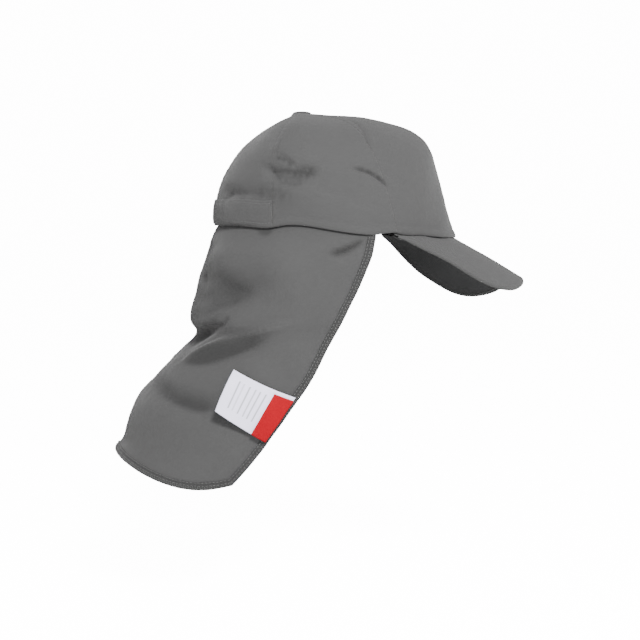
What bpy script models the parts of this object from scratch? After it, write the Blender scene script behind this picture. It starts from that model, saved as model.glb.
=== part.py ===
"""Sun flap cap: a five panel crown with a top button, a curved peak, a back band and a neck flap.

Metres, +Z up. The origin is the centre of the head opening, +X is the way the wearer faces,
and the wearer's right side is at -Y. Angles called turns run from the front through the wearer's
right side to the back. The flap hangs below the rim and swings behind the head.
"""

import math
from collections import namedtuple
from functools import lru_cache

import bmesh
import bpy
from mathutils import Vector

# Crown
CROWN_LENGTH = 0.203
CROWN_WIDTH = 0.166
CROWN_HEIGHT = 0.0978
CROWN_WALL = 0.0010
BUTTON_SET_BACK = 0.0272
FRONT_SEAM_TURN = math.radians(65)
BACK_SEAM_TURN = math.radians(124)
RIM_BLEND_START = math.radians(1.25)
RIM_BLEND_TURN = math.radians(5)
CROWN_FOLD_DEPTH = 0.0032
CROWN_FOLD_WIDTH = 0.0065

# Top button
BUTTON_RADIUS = 0.0078
BUTTON_HEIGHT = 0.0020
BUTTON_STEM_RADIUS = 0.0022
BUTTON_STEM_LENGTH = 0.0040
BUTTON_HOLE_RADIUS = 0.0034

# Back band
BAND_HEIGHT = 0.0205
BAND_WALL = 0.0015
BAND_FOOT = 0.0012
BAND_PLAY = 0.0006

# Peak
PEAK_LENGTH = 0.0650
PEAK_HALF_WIDTH = 0.083
PEAK_SLOPE = math.radians(30.8)
PEAK_ARCH = 0.0345
PEAK_TWIST = 0.0064
PEAK_TOP_WALL = 0.0017
PEAK_UNDER_WALL = 0.0012
PEAK_TUCK = 0.0012
PEAK_PLAY = 0.0007
PEAK_SETS_IN = 0.0052
PEAK_TURN = math.radians(65)
PEAK_TWIST_RUN = 0.030
PEAK_SQUARENESS = 2.4
PEAK_SHOULDER = 0.68
PEAK_END_WIDTH = 0.0045
PEAK_END_SAG = 0.0044
PEAK_SAG_TURN = math.radians(18)
PEAK_SAG_RUN = 0.0095

# Neck flap
FLAP_TURN = math.radians(75)
FLAP_WALL = 0.0012
FLAP_TUCK = 0.0080
FLAP_DROP = 0.2006
FLAP_FRONT_RUN = 0.1142
FLAP_SWING = 0.0825
FLAP_HALF_WIDTH = 0.083
FLAP_HEM_BOW = 0.0105
FLAP_FOLD_DEPTH = 0.0060
FLAP_FOLD_WIDTH = 0.0100

# Hems of the flap
HEM_WIDTH = 0.0060
HEM_WALL = 0.0010
HEM_PLAY = 0.0005
HEM_CORNER_GAP = 0.0105

# Labels
LABEL_LENGTH = 0.0480
LABEL_WIDTH = 0.0380
LABEL_WALL = 0.0010
LABEL_DROP = 0.752
LABEL_SLANT = math.radians(15)
LABEL_SEAM = 0.0030
LABEL_CURL = 0.0060
TAB_LENGTH = 0.0130
TAB_WALL = 0.0010

CLEARANCE = 0.0003

# The ends of the peak, as shares of its turn, end width and end sag: it is pulled to the right
PeakEnd = namedtuple("PeakEnd", "turn width sag")
RIGHT_END = PeakEnd(1.000, 1.00, 1.00)
LEFT_END = PeakEnd(0.925, 0.22, 0.75)

# Shares of the crown's height, half length, half width and button set-back, from the rim up
CrownSection = namedtuple("CrownSection", "rise front back side shift")
CROWN_SECTIONS = (
    CrownSection(0.000, 1.000, 0.985, 1.000, 0.00),
    CrownSection(0.140, 0.955, 0.982, 0.998, 0.05),
    CrownSection(0.280, 0.912, 0.960, 0.987, 0.16),
    CrownSection(0.420, 0.874, 0.918, 0.957, 0.32),
    CrownSection(0.560, 0.842, 0.850, 0.905, 0.52),
    CrownSection(0.680, 0.810, 0.765, 0.833, 0.73),
    CrownSection(0.775, 0.752, 0.672, 0.745, 0.88),
    CrownSection(0.855, 0.640, 0.575, 0.640, 0.97),
    CrownSection(0.918, 0.480, 0.470, 0.500, 1.00),
    CrownSection(0.962, 0.280, 0.380, 0.340, 1.00),
    CrownSection(0.986, 0.050, 0.354, 0.200, 1.00),
    CrownSection(0.997, -0.165, 0.343, 0.100, 1.00),
    CrownSection(1.000, -0.268, 0.268, 0.000, 1.00),
)

# The panels from seam to seam, with the columns of each one's grid
Panel = namedtuple("Panel", "name first last columns")
PANELS = (
    Panel("front_panel", -FRONT_SEAM_TURN, FRONT_SEAM_TURN, 14),
    Panel("right_side_panel", FRONT_SEAM_TURN, BACK_SEAM_TURN, 10),
    Panel("left_side_panel", -BACK_SEAM_TURN, -FRONT_SEAM_TURN, 10),
    Panel("right_back_panel", BACK_SEAM_TURN, math.pi, 8),
    Panel("left_back_panel", math.pi, math.tau - BACK_SEAM_TURN, 8),
)

# Height of the rim behind the peak, as shares of the crown's height, by turn in degrees
RimRow = namedtuple("RimRow", "turn rise")
RIM_ROWS = (
    RimRow(65, -0.006),
    RimRow(71, -0.014),
    RimRow(76, -0.026),
    RimRow(84, -0.018),
    RimRow(95, 0.010),
    RimRow(108, 0.047),
    RimRow(117, 0.052),
    RimRow(127, 0.029),
    RimRow(138, 0.041),
    RimRow(150, 0.050),
    RimRow(180, 0.053),
)

# Creases of the crown: turns in degrees, rises as shares of the crown's height, then shares of
# the fold width and fold depth, where a positive depth stands proud
CrownFold = namedtuple("CrownFold", "turns rises width depth")
CROWN_FOLDS = (
    CrownFold((131, 118, 96), (0.55, 0.39, 0.54), 0.90, -1.00),
    CrownFold((127, 112, 98), (0.66, 0.60, 0.63), 1.40, 0.60),
    CrownFold((76, 64, 55), (0.56, 0.54, 0.40), 0.70, -0.55),
    CrownFold((165, 145, 124), (0.31, 0.33, 0.30), 1.10, -0.80),
    CrownFold((112, 90, 66), (0.44, 0.36, 0.27), 1.80, -0.35),
    CrownFold((-165, -146, -126), (0.31, 0.34, 0.30), 1.10, -0.70),
    CrownFold((-118, -100, -84), (0.52, 0.45, 0.50), 1.40, -0.55),
    CrownFold((-75, -64, -56), (0.58, 0.50, 0.38), 1.00, -0.45),
)

# Level lines of the flap from the rim to the hem. Front and back drops are shares of the flap's
# drop, runs are shares of the front run and of the swing, and side is a share of the half width
FlapSection = namedtuple("FlapSection", "fall front_drop back_drop front_run back_run side")
FLAP_SECTIONS = (
    FlapSection(0.00, 0.012, -0.024, 0.000, 0.000, 0.975),
    FlapSection(0.10, 0.080, 0.064, 0.024, 0.080, 0.990),
    FlapSection(0.20, 0.156, 0.152, 0.074, 0.160, 1.000),
    FlapSection(0.30, 0.236, 0.237, 0.132, 0.229, 1.000),
    FlapSection(0.40, 0.310, 0.313, 0.197, 0.270, 0.985),
    FlapSection(0.46, 0.360, 0.372, 0.241, 0.262, 0.970),
    FlapSection(0.50, 0.400, 0.410, 0.278, 0.210, 0.955),
    FlapSection(0.56, 0.464, 0.462, 0.338, 0.308, 0.955),
    FlapSection(0.64, 0.540, 0.538, 0.406, 0.492, 0.960),
    FlapSection(0.72, 0.624, 0.607, 0.492, 0.652, 0.965),
    FlapSection(0.80, 0.708, 0.676, 0.596, 0.785, 0.965),
    FlapSection(0.88, 0.804, 0.750, 0.717, 0.872, 0.955),
    FlapSection(0.94, 0.882, 0.822, 0.812, 0.926, 0.940),
    FlapSection(1.00, 1.000, 0.905, 1.000, 0.985, 0.915),
)

# Folds of the flap seen from the side: reaches are shares of the crown's half length behind the
# origin, drops are shares of the flap's drop, then shares of the fold width and fold depth
FlapFold = namedtuple("FlapFold", "side reaches drops width depth")
RIGHT, LEFT, BOTH = -1, 1, 0
FLAP_FOLDS = (
    FlapFold(RIGHT, (1.01, 0.76, 0.36), (0.08, 0.10, 0.13), 1.90, 0.55),
    FlapFold(BOTH, (1.15, 0.90, 0.60), (0.27, 0.27, 0.21), 1.40, -0.90),
    FlapFold(BOTH, (1.31, 0.98, 0.42), (0.50, 0.42, 0.35), 1.00, 1.05),
    FlapFold(RIGHT, (1.27, 0.98, 0.52), (0.545, 0.52, 0.43), 0.95, -0.70),
    FlapFold(RIGHT, (1.56, 1.28, 0.98), (0.63, 0.68, 0.72), 1.30, -0.55),
    FlapFold(RIGHT, (-0.25, -0.10, 0.05), (0.03, 0.072, 0.092), 0.50, -0.50),
    FlapFold(RIGHT, (1.00, 1.04, 1.09), (0.03, 0.12, 0.23), 0.45, -0.35),
    FlapFold(LEFT, (1.25, 0.90, 0.35), (0.60, 0.55, 0.45), 1.30, -0.60),
    FlapFold(LEFT, (1.50, 1.15, 0.75), (0.78, 0.76, 0.68), 1.60, 0.50),
)

CLOTH_GREY = (0.18, 0.18, 0.18, 1)
PEAK_CHARCOAL = (0.03, 0.03, 0.03, 1)
HEM_GREY = (0.11, 0.11, 0.11, 1)
LABEL_WHITE = (0.80, 0.80, 0.85, 1)
TAB_RED = (0.75, 0.01, 0.03, 1)

HALF_LENGTH = CROWN_LENGTH / 2
HALF_WIDTH = CROWN_WIDTH / 2

# Shares that shape the cloth: how a fold fades at its ends, how soon the flap's top takes the
# flap's own width, how far down its folds begin, and how far across one side's folds reach
FOLD_FADE = 0.25
FOLD_END_STRENGTH = 0.15
FLAP_OPENS_OUT = 0.125
FLAP_FOLDS_BEGIN = 0.10
FLAP_SIDE_REACH = 0.70

# Fineness of the working: parts of a fold's curve, halvings of a search, and a small move
FOLD_PARTS = 12
HALVINGS = 20
STEP = 1e-4


def smooth(value):
    """An even rise from 0 to 1 as value goes from 0 to 1."""
    value = min(max(value, 0.0), 1.0)
    return value * value * (3 - 2 * value)


@lru_cache(maxsize=None)
def along(rows, place, column, key=None):
    """A table's column on a smooth curve through its rows, at a place between them."""
    if key is None:
        marks = [index / (len(rows) - 1) for index in range(len(rows))]
    else:
        marks = [getattr(row, key) for row in rows]
    values = [getattr(row, column) for row in rows]
    place = min(max(place, marks[0]), marks[-1])
    low = max(index for index in range(len(rows) - 1) if marks[index] <= place)

    def slope(index):
        first, last = max(index - 1, 0), min(index + 1, len(rows) - 1)
        return (values[last] - values[first]) / (marks[last] - marks[first])

    span = marks[low + 1] - marks[low]
    share = (place - marks[low]) / span
    square, cube = share * share, share**3
    return (
        values[low] * (2 * cube - 3 * square + 1)
        + slope(low) * span * (cube - 2 * square + share)
        + values[low + 1] * (3 * square - 2 * cube)
        + slope(low + 1) * span * (cube - square)
    )


def fold_height(here, line, width):
    """How strongly a fold acts at a point: 1 on its line, falling off to its sides and its ends."""
    first, bend, last = line
    best = 0.0
    for index in range(FOLD_PARTS + 1):
        share = index / FOLD_PARTS
        point = first.lerp(bend, share).lerp(bend.lerp(last, share), share)
        fade = smooth(min(share, 1 - share) / FOLD_FADE + FOLD_END_STRENGTH)
        best = max(best, fade * math.exp(-((here - point).length / width) ** 2))
    return best


# Crown form


def peak_end(y):
    """The end of the peak on this side of the middle."""
    return RIGHT_END if y < 0 else LEFT_END


def peak_height(x, y, run):
    """Height of the peak's upper face over a point of the ground plan, run away from the rim."""
    end = peak_end(y)
    slope = math.tan(PEAK_SLOPE) * (x - HALF_LENGTH)
    arch = PEAK_ARCH * (y / PEAK_HALF_WIDTH) ** 2
    twist = -PEAK_TWIST * (y / PEAK_HALF_WIDTH) * smooth(run / PEAK_TWIST_RUN)
    turn = math.atan2(abs(y) / HALF_WIDTH, x / HALF_LENGTH)
    at_end = smooth((turn - end.turn * PEAK_TURN) / PEAK_SAG_TURN + 1)
    sag = end.sag * PEAK_END_SAG * at_end * (1 - smooth(run / PEAK_SAG_RUN))
    return -PEAK_SETS_IN - slope - arch + twist - sag


def rim_height(turn):
    """Height of the crown's lower edge: over the peak in front, on its own wave behind."""
    turn = math.remainder(turn, math.tau)
    x = (HALF_LENGTH - CROWN_WALL) * math.cos(turn)
    y = -(HALF_WIDTH - CROWN_WALL) * math.sin(turn)
    on_peak = peak_height(x, y, CROWN_WALL + PEAK_TUCK) + PEAK_PLAY
    behind = CROWN_HEIGHT * along(RIM_ROWS, math.degrees(abs(turn)), "rise", "turn")
    past = abs(turn) - peak_end(y).turn * PEAK_TURN - RIM_BLEND_START
    return on_peak + (behind - on_peak) * smooth(past / RIM_BLEND_TURN)


def crown_form(turn, climb):
    """A point of the crown's outer face before folding: climb is 0 at the rim and 1 at the top."""
    section = {name: along(CROWN_SECTIONS, climb, name) for name in CrownSection._fields}
    centre = -BUTTON_SET_BACK * section["shift"]
    front = HALF_LENGTH * section["front"] - centre
    back = HALF_LENGTH * section["back"] + centre
    reach = front if math.cos(turn) > 0 else back
    foot = rim_height(turn)
    return Vector((
        centre + reach * math.cos(turn),
        -HALF_WIDTH * section["side"] * math.sin(turn),
        foot + (CROWN_HEIGHT - foot) * section["rise"],
    ))


def crown_relief(turn, point):
    """How far the crown's folds move a point out of its plain form."""
    around = math.remainder(turn, math.tau)
    here = Vector((around * HALF_WIDTH, point.z, 0))
    total = 0.0
    for fold in CROWN_FOLDS:
        line = [
            Vector((math.radians(degrees) * HALF_WIDTH, rise * CROWN_HEIGHT, 0))
            for degrees, rise in zip(fold.turns, fold.rises)
        ]
        strength = fold_height(here, line, fold.width * CROWN_FOLD_WIDTH)
        total += strength * fold.depth * CROWN_FOLD_DEPTH
    return total


def inward(form, first, second):
    """The unit normal that points into the cap where the second parameter climbs."""
    over = form(first + STEP, second) - form(first - STEP, second)
    up = form(first, second + STEP) - form(first, second - STEP)
    return over.cross(up).normalized()


def folded_crown(turn, climb):
    point = crown_form(turn, climb)
    return point - crown_relief(turn, point) * inward(crown_form, turn, climb)


def crown_point(turn, climb, depth=0.0):
    """A point of the crown, depth inside its outer face."""
    return folded_crown(turn, climb) + depth * inward(folded_crown, turn, climb)


def climb_at(turn, height):
    """How far up the crown a height above its rim lies."""
    low, high = 0.0, 1.0
    for _ in range(HALVINGS):
        middle = (low + high) / 2
        if crown_form(turn, middle).z - rim_height(turn) < height:
            low = middle
        else:
            high = middle
    return low


def top_climb():
    """Where the panels stop, at the rim of the button's hole."""
    low, high = 0.0, 1.0
    for _ in range(HALVINGS):
        middle = (low + high) / 2
        if abs(crown_form(math.pi / 2, middle).y) > BUTTON_HOLE_RADIUS:
            low = middle
        else:
            high = middle
    return low


# Flap form


def flap_turn(across):
    """Turn of a column of the flap: across is 0 at its right front edge and 1 at its left one."""
    return FLAP_TURN + across * (math.tau - 2 * FLAP_TURN)


def flap_form(across, fall):
    """A point of the flap's outer face before folding: fall is 0 at the rim and 1 at the hem."""
    turn = flap_turn(across)
    section = {name: along(FLAP_SECTIONS, fall, name, "fall") for name in FlapSection._fields}
    inset = CROWN_WALL + CLEARANCE
    rim_front = (HALF_LENGTH - inset) * math.cos(FLAP_TURN)
    rim_back = -(HALF_LENGTH * CROWN_SECTIONS[0].back - inset)
    front_x = rim_front - FLAP_FRONT_RUN * section["front_run"]
    back_x = rim_back - FLAP_SWING * section["back_run"]
    reach = (front_x - back_x) / (1 + math.cos(FLAP_TURN))
    x = back_x + reach + reach * math.cos(turn)
    side = section["side"] * FLAP_HALF_WIDTH
    side += (HALF_WIDTH - inset - side) * smooth(1 - fall / FLAP_OPENS_OUT)
    behind = (front_x - x) / (front_x - back_x)
    front_z = -FLAP_DROP * section["front_drop"]
    back_z = -FLAP_DROP * section["back_drop"]
    bow = 4 * behind * (1 - behind) * FLAP_HEM_BOW * fall**3
    plain_rim = -FLAP_DROP * (
        FLAP_SECTIONS[0].front_drop * (1 - behind) + FLAP_SECTIONS[0].back_drop * behind
    )
    lift = (rim_height(turn) - plain_rim) * (1 - fall) ** 2
    return Vector((x, -side * math.sin(turn), front_z + (back_z - front_z) * behind - bow + lift))


def flap_relief(point):
    """How far the flap's folds move a point out of its plain form."""
    here = Vector((point.x, point.z, 0))
    total = 0.0
    for fold in FLAP_FOLDS:
        line = [
            Vector((-reach * HALF_LENGTH, -drop * FLAP_DROP, 0))
            for reach, drop in zip(fold.reaches, fold.drops)
        ]
        strength = fold_height(here, line, fold.width * FLAP_FOLD_WIDTH)
        if fold.side != BOTH:
            strength *= smooth(0.5 + fold.side * point.y / (FLAP_SIDE_REACH * FLAP_HALF_WIDTH))
        total += strength * fold.depth * FLAP_FOLD_DEPTH
    return total * smooth(-point.z / (FLAP_FOLDS_BEGIN * FLAP_DROP))


def folded_flap(across, fall):
    point = flap_form(across, fall)
    return point + flap_relief(point) * inward(flap_form, across, fall)


def flap_point(across, fall, depth=0.0):
    """A point of the flap, depth inside its outer face."""
    return folded_flap(across, fall) - depth * inward(folded_flap, across, fall)


def flap_step(across, fall, move):
    """The flap's own parameters after a move over its face, from a point of it."""
    over = (folded_flap(across + STEP, fall) - folded_flap(across - STEP, fall)) / (2 * STEP)
    down = (folded_flap(across, fall + STEP) - folded_flap(across, fall - STEP)) / (2 * STEP)
    a, b, c = over.dot(over), over.dot(down), down.dot(down)
    p, q = move.dot(over), move.dot(down)
    scale = a * c - b * b
    return across + (c * p - b * q) / scale, fall + (a * q - b * p) / scale


# Building


def material(name, colour, roughness):
    finish = bpy.data.materials.new(name)
    finish.use_nodes = True
    shader = finish.node_tree.nodes["Principled BSDF"]
    shader.inputs["Base Color"].default_value = colour
    shader.inputs["Roughness"].default_value = roughness
    shader.inputs["Metallic"].default_value = 0.0
    return finish


def add_object(name, mesh, finish, collection):
    piece = bpy.data.objects.new(name, mesh)
    mesh.materials.append(finish)
    collection.objects.link(piece)
    return piece


INTO_CAP, OUT_OF_CAP = 1, -1


def cloth(name, columns, rows, place, wall, side, finish, collection):
    """A cloth wall: the points of a flat grid go to their places, then the grid is thickened.

    place takes a column and a row. side says which way the wall grows along the grid's normal.
    """
    shape = bmesh.new()
    bmesh.ops.create_grid(shape, x_segments=columns, y_segments=rows, size=0.5)
    for vertex in shape.verts:
        column = round((vertex.co.x + 0.5) * columns)
        row = round((vertex.co.y + 0.5) * rows)
        vertex.co = place(column, row)
    mesh = bpy.data.meshes.new(name)
    shape.to_mesh(mesh)
    shape.free()
    mesh.shade_smooth()
    piece = add_object(name, mesh, finish, collection)
    thick = piece.modifiers.new("Wall", "SOLIDIFY")
    thick.thickness = wall
    thick.offset = side
    thick.use_even_offset = True
    return piece


def crown_panel(name, first, last, columns, finish, collection):
    """One panel between two seams, trimmed by half the clearance at each."""
    top, rows = top_climb(), 14

    def place(column, row):
        climb = top * row / rows
        turn = first + (last - first) * column / columns
        if column in (0, columns):
            across = crown_form(turn + STEP, climb) - crown_form(turn - STEP, climb)
            trim = CLEARANCE / 2 / (across.length / (2 * STEP))
            turn += trim if column == 0 else -trim
        return folded_crown(turn, climb)

    cloth(name, columns, rows, place, CROWN_WALL, INTO_CAP, finish, collection)


def build_crown(finish, collection):
    """Five panels: one in front, two at the sides and two behind."""
    for panel in PANELS:
        crown_panel(panel.name, panel.first, panel.last, panel.columns, finish, collection)


def build_button(finish, collection):
    """A covered button over the meeting of the seams, turned round its stem."""
    quarters = [math.pi * quarter / 2 for quarter in range(4)]
    foot = max(folded_crown(turn, top_climb()).z for turn in quarters) + CLEARANCE
    crown = foot + BUTTON_HEIGHT
    cap_steps = 5
    profile = [(0.0, crown)]
    for step in range(1, cap_steps + 1):
        lean = math.radians(90) * step / cap_steps
        profile.append((BUTTON_RADIUS * math.sin(lean), crown - BUTTON_HEIGHT * (1 - math.cos(lean))))
    profile += [
        (BUTTON_STEM_RADIUS, foot),
        (BUTTON_STEM_RADIUS, foot - BUTTON_STEM_LENGTH),
        (0.0, foot - BUTTON_STEM_LENGTH),
    ]
    mesh = bpy.data.meshes.new("top_button")
    links = [(index, index + 1) for index in range(len(profile) - 1)]
    mesh.from_pydata([(radius, 0, height) for radius, height in profile], links, [])
    button = add_object("top_button", mesh, finish, collection)
    button.location.x = -BUTTON_SET_BACK
    turned = button.modifiers.new("Turn", "SCREW")
    turned.steps = turned.render_steps = 20
    turned.use_merge_vertices = True
    turned.merge_threshold = 0.00001
    turned.use_smooth_shade = True


def build_band(finish, collection):
    """The band outside the two back panels, from one back seam round to the other."""
    columns, rows = 16, 4
    first, last = BACK_SEAM_TURN, math.tau - BACK_SEAM_TURN

    def place(column, row):
        turn = first + (last - first) * column / columns
        climb = climb_at(turn, BAND_FOOT + BAND_HEIGHT * row / rows)
        return crown_point(turn, climb, -BAND_PLAY)

    cloth("back_band", columns, rows, place, BAND_WALL, OUT_OF_CAP, finish, collection)


def peak_plan(swing, reach):
    """Ground plan of the peak and the run from its rim: swing is -1 at its left end, 1 at its right."""
    end = peak_end(-swing)
    turn = -swing * end.turn * PEAK_TURN
    inset = CROWN_WALL + PEAK_TUCK
    rim = Vector(((HALF_LENGTH - inset) * math.cos(turn), (HALF_WIDTH - inset) * math.sin(turn)))
    width = end.width * PEAK_END_WIDTH
    corner = Vector((
        (HALF_LENGTH + width) * math.cos(end.turn * PEAK_TURN),
        (HALF_WIDTH + width) * math.sin(end.turn * PEAK_TURN),
    ))
    length = PEAK_LENGTH * math.cos(PEAK_SLOPE)
    if abs(swing) < PEAK_SHOULDER:
        sweep = math.pi / 2 * abs(swing) / PEAK_SHOULDER
        power = 2 / PEAK_SQUARENESS
        x = HALF_LENGTH + length * math.cos(sweep) ** power
        y = PEAK_HALF_WIDTH * math.sin(sweep) ** power
    else:
        back = (abs(swing) - PEAK_SHOULDER) / (1 - PEAK_SHOULDER)
        x = HALF_LENGTH + (corner.x - HALF_LENGTH) * back
        y = PEAK_HALF_WIDTH + (corner.y - PEAK_HALF_WIDTH) * back**2
    edge = Vector((x, math.copysign(y, turn)))
    return rim.lerp(edge, reach), (edge - rim).length * reach


def peak_surface(swing, reach):
    plan, run = peak_plan(swing, reach)
    return Vector((plan.x, plan.y, peak_height(plan.x, plan.y, run)))


def build_peak(top_finish, under_finish, collection):
    """The peak's two cloth faces, one under the other, from the left end to the right one."""
    columns, rows = 24, 6

    def top(column, row):
        return peak_surface(column / columns * 2 - 1, row / rows)

    def under(column, row):
        swing, reach = column / columns * 2 - 1, row / rows
        along_rim = peak_surface(swing + STEP, reach) - peak_surface(swing - STEP, reach)
        outward = peak_surface(swing, reach + STEP) - peak_surface(swing, reach - STEP)
        down = -along_rim.cross(outward).normalized()
        return top(column, row) + (PEAK_TOP_WALL + CLEARANCE) * down

    cloth("peak_top", columns, rows, top, PEAK_TOP_WALL, -1, top_finish, collection)
    cloth("peak_under", columns, rows, under, PEAK_UNDER_WALL, -1, under_finish, collection)


def flap_columns():
    """Even columns, with the first and last at the hem's inner line half way down."""
    count, half_way = 40, 0.5
    edge = HEM_WIDTH * STEP / (folded_flap(STEP, half_way) - folded_flap(0.0, half_way)).length
    inner = [edge + (1 - 2 * edge) * index / count for index in range(count + 1)]
    return [0.0] + inner + [1.0]


def flap_falls():
    """Even rows below the rim, with the last but one at the hem's inner line at the back."""
    count, back = 24, 0.5
    edge = HEM_WIDTH * STEP / (folded_flap(back, 1.0) - folded_flap(back, 1.0 - STEP)).length
    return [(1 - edge) * index / count for index in range(count + 1)] + [1.0]


def build_flap(finish, collection):
    """The neck cloth, tucked up inside the crown and hanging from there to its hem."""
    columns, falls = flap_columns(), flap_falls()
    rows = len(falls)

    def place(column, row):
        down = rows - row
        turn = flap_turn(columns[column])
        if down < 2:
            climb = climb_at(turn, FLAP_TUCK * (1 - down))
            return crown_point(turn, climb, CROWN_WALL + CLEARANCE)
        return folded_flap(columns[column], falls[down - 1])

    cloth("neck_flap", len(columns) - 1, rows, place, FLAP_WALL, INTO_CAP, finish, collection)


def hem(name, path, finish, collection):
    """A hem folded round one edge of the flap like a tape, along a path of the flap's parameters."""
    outside, inside = -HEM_PLAY, FLAP_WALL + HEM_PLAY
    wrap = (
        (HEM_WIDTH, outside),
        (0.0, outside),
        (-HEM_PLAY, FLAP_WALL / 2),
        (0.0, inside),
        (HEM_WIDTH, inside),
    )

    def place(column, row):
        across, fall = path[column]
        before, after = path[max(column - 1, 0)], path[min(column + 1, len(path) - 1)]
        way = folded_flap(*after) - folded_flap(*before)
        outward = inward(folded_flap, across, fall)
        aside = way.cross(outward).normalized()
        distance, depth = wrap[row]
        if distance <= 0:
            return folded_flap(across, fall) + aside * distance - outward * depth
        return flap_point(*flap_step(across, fall, aside * distance), depth)

    cloth(name, len(path) - 1, len(wrap) - 1, place, HEM_WALL, 1, finish, collection)


def build_hems(finish, collection):
    """One hem along the bottom, and one up each front edge from there to the rim."""
    columns, falls = flap_columns(), flap_falls()
    gap = (1 - falls[-2]) * HEM_CORNER_GAP / HEM_WIDTH
    last = 1 - gap
    down = [fall for fall in falls[1:-1] if fall < last - gap / 2] + [last]
    hem("right_hem", [(0.0, fall) for fall in down], finish, collection)
    hem("bottom_hem", [(across, 1.0) for across in columns], finish, collection)
    hem("left_hem", [(1.0, fall) for fall in reversed(down)], finish, collection)


def label_piece(name, length, lift, wall, columns, finish, collection):
    """A woven label, sewn in beside the hem and lying over the flap."""
    rows = 6
    root = (0.0, LABEL_DROP)
    down = (folded_flap(0.0, LABEL_DROP + STEP) - folded_flap(0.0, LABEL_DROP - STEP)).normalized()
    away = down.cross(inward(folded_flap, *root)).normalized()
    run_way = away * math.cos(LABEL_SLANT) + down * math.sin(LABEL_SLANT)

    def place(column, row):
        run = length * column / columns
        move = run_way * (HEM_WIDTH - LABEL_SEAM + run) + down * LABEL_WIDTH * row / rows
        curl = LABEL_CURL * (run / LABEL_LENGTH) ** 2 * (1 + row / rows) / 2
        return flap_point(*flap_step(*root, move), -(lift + curl))

    cloth(name, columns, rows, place, wall, 1, finish, collection)


def build_labels(white, red, collection):
    label_lift = HEM_PLAY + HEM_WALL + 2 * CLEARANCE
    tab_lift = label_lift + LABEL_WALL + 2 * CLEARANCE
    label_piece("care_label", LABEL_LENGTH, label_lift, LABEL_WALL, 8, white, collection)
    label_piece("hem_tab", TAB_LENGTH, tab_lift, TAB_WALL, 3, red, collection)


def main():
    for leftover in list(bpy.data.objects):
        bpy.data.objects.remove(leftover)
    cap = bpy.data.collections.new("sun_flap_cap")
    bpy.context.scene.collection.children.link(cap)
    grey = material("cap_cloth", CLOTH_GREY, 0.90)
    charcoal = material("peak_lining", PEAK_CHARCOAL, 0.85)
    dark = material("hem_cloth", HEM_GREY, 0.90)
    white = material("label_white", LABEL_WHITE, 0.60)
    red = material("tab_red", TAB_RED, 0.60)
    build_crown(grey, cap)
    build_button(grey, cap)
    build_band(grey, cap)
    build_peak(grey, charcoal, cap)
    build_flap(grey, cap)
    build_hems(dark, cap)
    build_labels(white, red, cap)


main()
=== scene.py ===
"""Looks of a sun flap cap: cloth, seams, hems, stitches, labels and stage, round the packed frame.

Metres, +Z up, +X the way the wearer faces and the wearer's right side at -Y, as in the frame.
Turns are angles that run from the front through the wearer's right side to the back.
"""

import math
from collections import namedtuple

import bpy
import numpy as np
from bpy.props import FloatProperty, FloatVectorProperty, PointerProperty
from bpy.types import Operator, Panel, PropertyGroup
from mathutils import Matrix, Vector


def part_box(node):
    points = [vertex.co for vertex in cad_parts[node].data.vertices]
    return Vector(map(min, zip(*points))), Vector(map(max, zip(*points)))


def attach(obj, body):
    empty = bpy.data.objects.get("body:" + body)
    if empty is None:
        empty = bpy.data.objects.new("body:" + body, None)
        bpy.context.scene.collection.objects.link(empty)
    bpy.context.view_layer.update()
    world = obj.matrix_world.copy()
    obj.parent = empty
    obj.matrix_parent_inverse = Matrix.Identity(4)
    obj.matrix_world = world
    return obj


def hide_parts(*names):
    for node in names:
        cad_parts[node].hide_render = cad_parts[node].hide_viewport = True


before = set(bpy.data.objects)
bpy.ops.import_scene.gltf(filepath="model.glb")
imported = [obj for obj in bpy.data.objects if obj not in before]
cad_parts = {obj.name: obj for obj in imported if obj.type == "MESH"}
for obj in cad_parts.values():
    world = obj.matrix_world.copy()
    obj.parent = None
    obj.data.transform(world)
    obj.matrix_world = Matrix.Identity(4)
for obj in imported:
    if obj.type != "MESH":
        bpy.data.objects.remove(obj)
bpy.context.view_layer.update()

bl_info = {
    "name": "Sun Flap Cap",
    "version": (1, 0, 0),
    "blender": (4, 5, 0),
    "location": "3D View > Sidebar > Cap",
    "description": "Dresses a sun flap cap in cloth, seams, hems and labels",
    "category": "Add Mesh",
}

# Shapes of the cap. Nearly all are the frame's own

RIM_BLEND_START = math.radians(-1.6)
RIM_BLEND_TURN = math.radians(4)
PEAK_TURN = math.radians(65)
PEAK_TWIST_RUN = 0.030
PEAK_SETS_IN = 0.0052
PEAK_PLAY = 0.0001
PEAK_TUCK = 0.0012
PEAK_SQUARENESS = 2.4
PEAK_SHOULDER = 0.68
PEAK_END_WIDTH = 0.0045
PEAK_END_SAG = 0.0044
PEAK_SAG_TURN = math.radians(18)
PEAK_SAG_RUN = 0.0095
FLAP_TURN = math.radians(75)
FLAP_OPENS_OUT = 0.125
FLAP_FOLDS_BEGIN = 0.10
FLAP_SIDE_REACH = 0.70
FOLD_FADE = 0.25
FOLD_END_STRENGTH = 0.15
FOLD_PARTS = 24
BUTTON_LOW, BUTTON_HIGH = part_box("top_button")
BUTTON_HOLE_RADIUS = 0.0034
BUTTON_STEM_RADIUS = 0.0022
BUTTON_HEIGHT = 0.0020
BUTTON_STEM_LENGTH = 0.0040
BAND_FOOT = 0.0012
BAND_PLAY = 0.0004
BAND_WALL = 0.0015
CLEARANCE = 0.0003

# Steps and counts of the meshes

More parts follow.
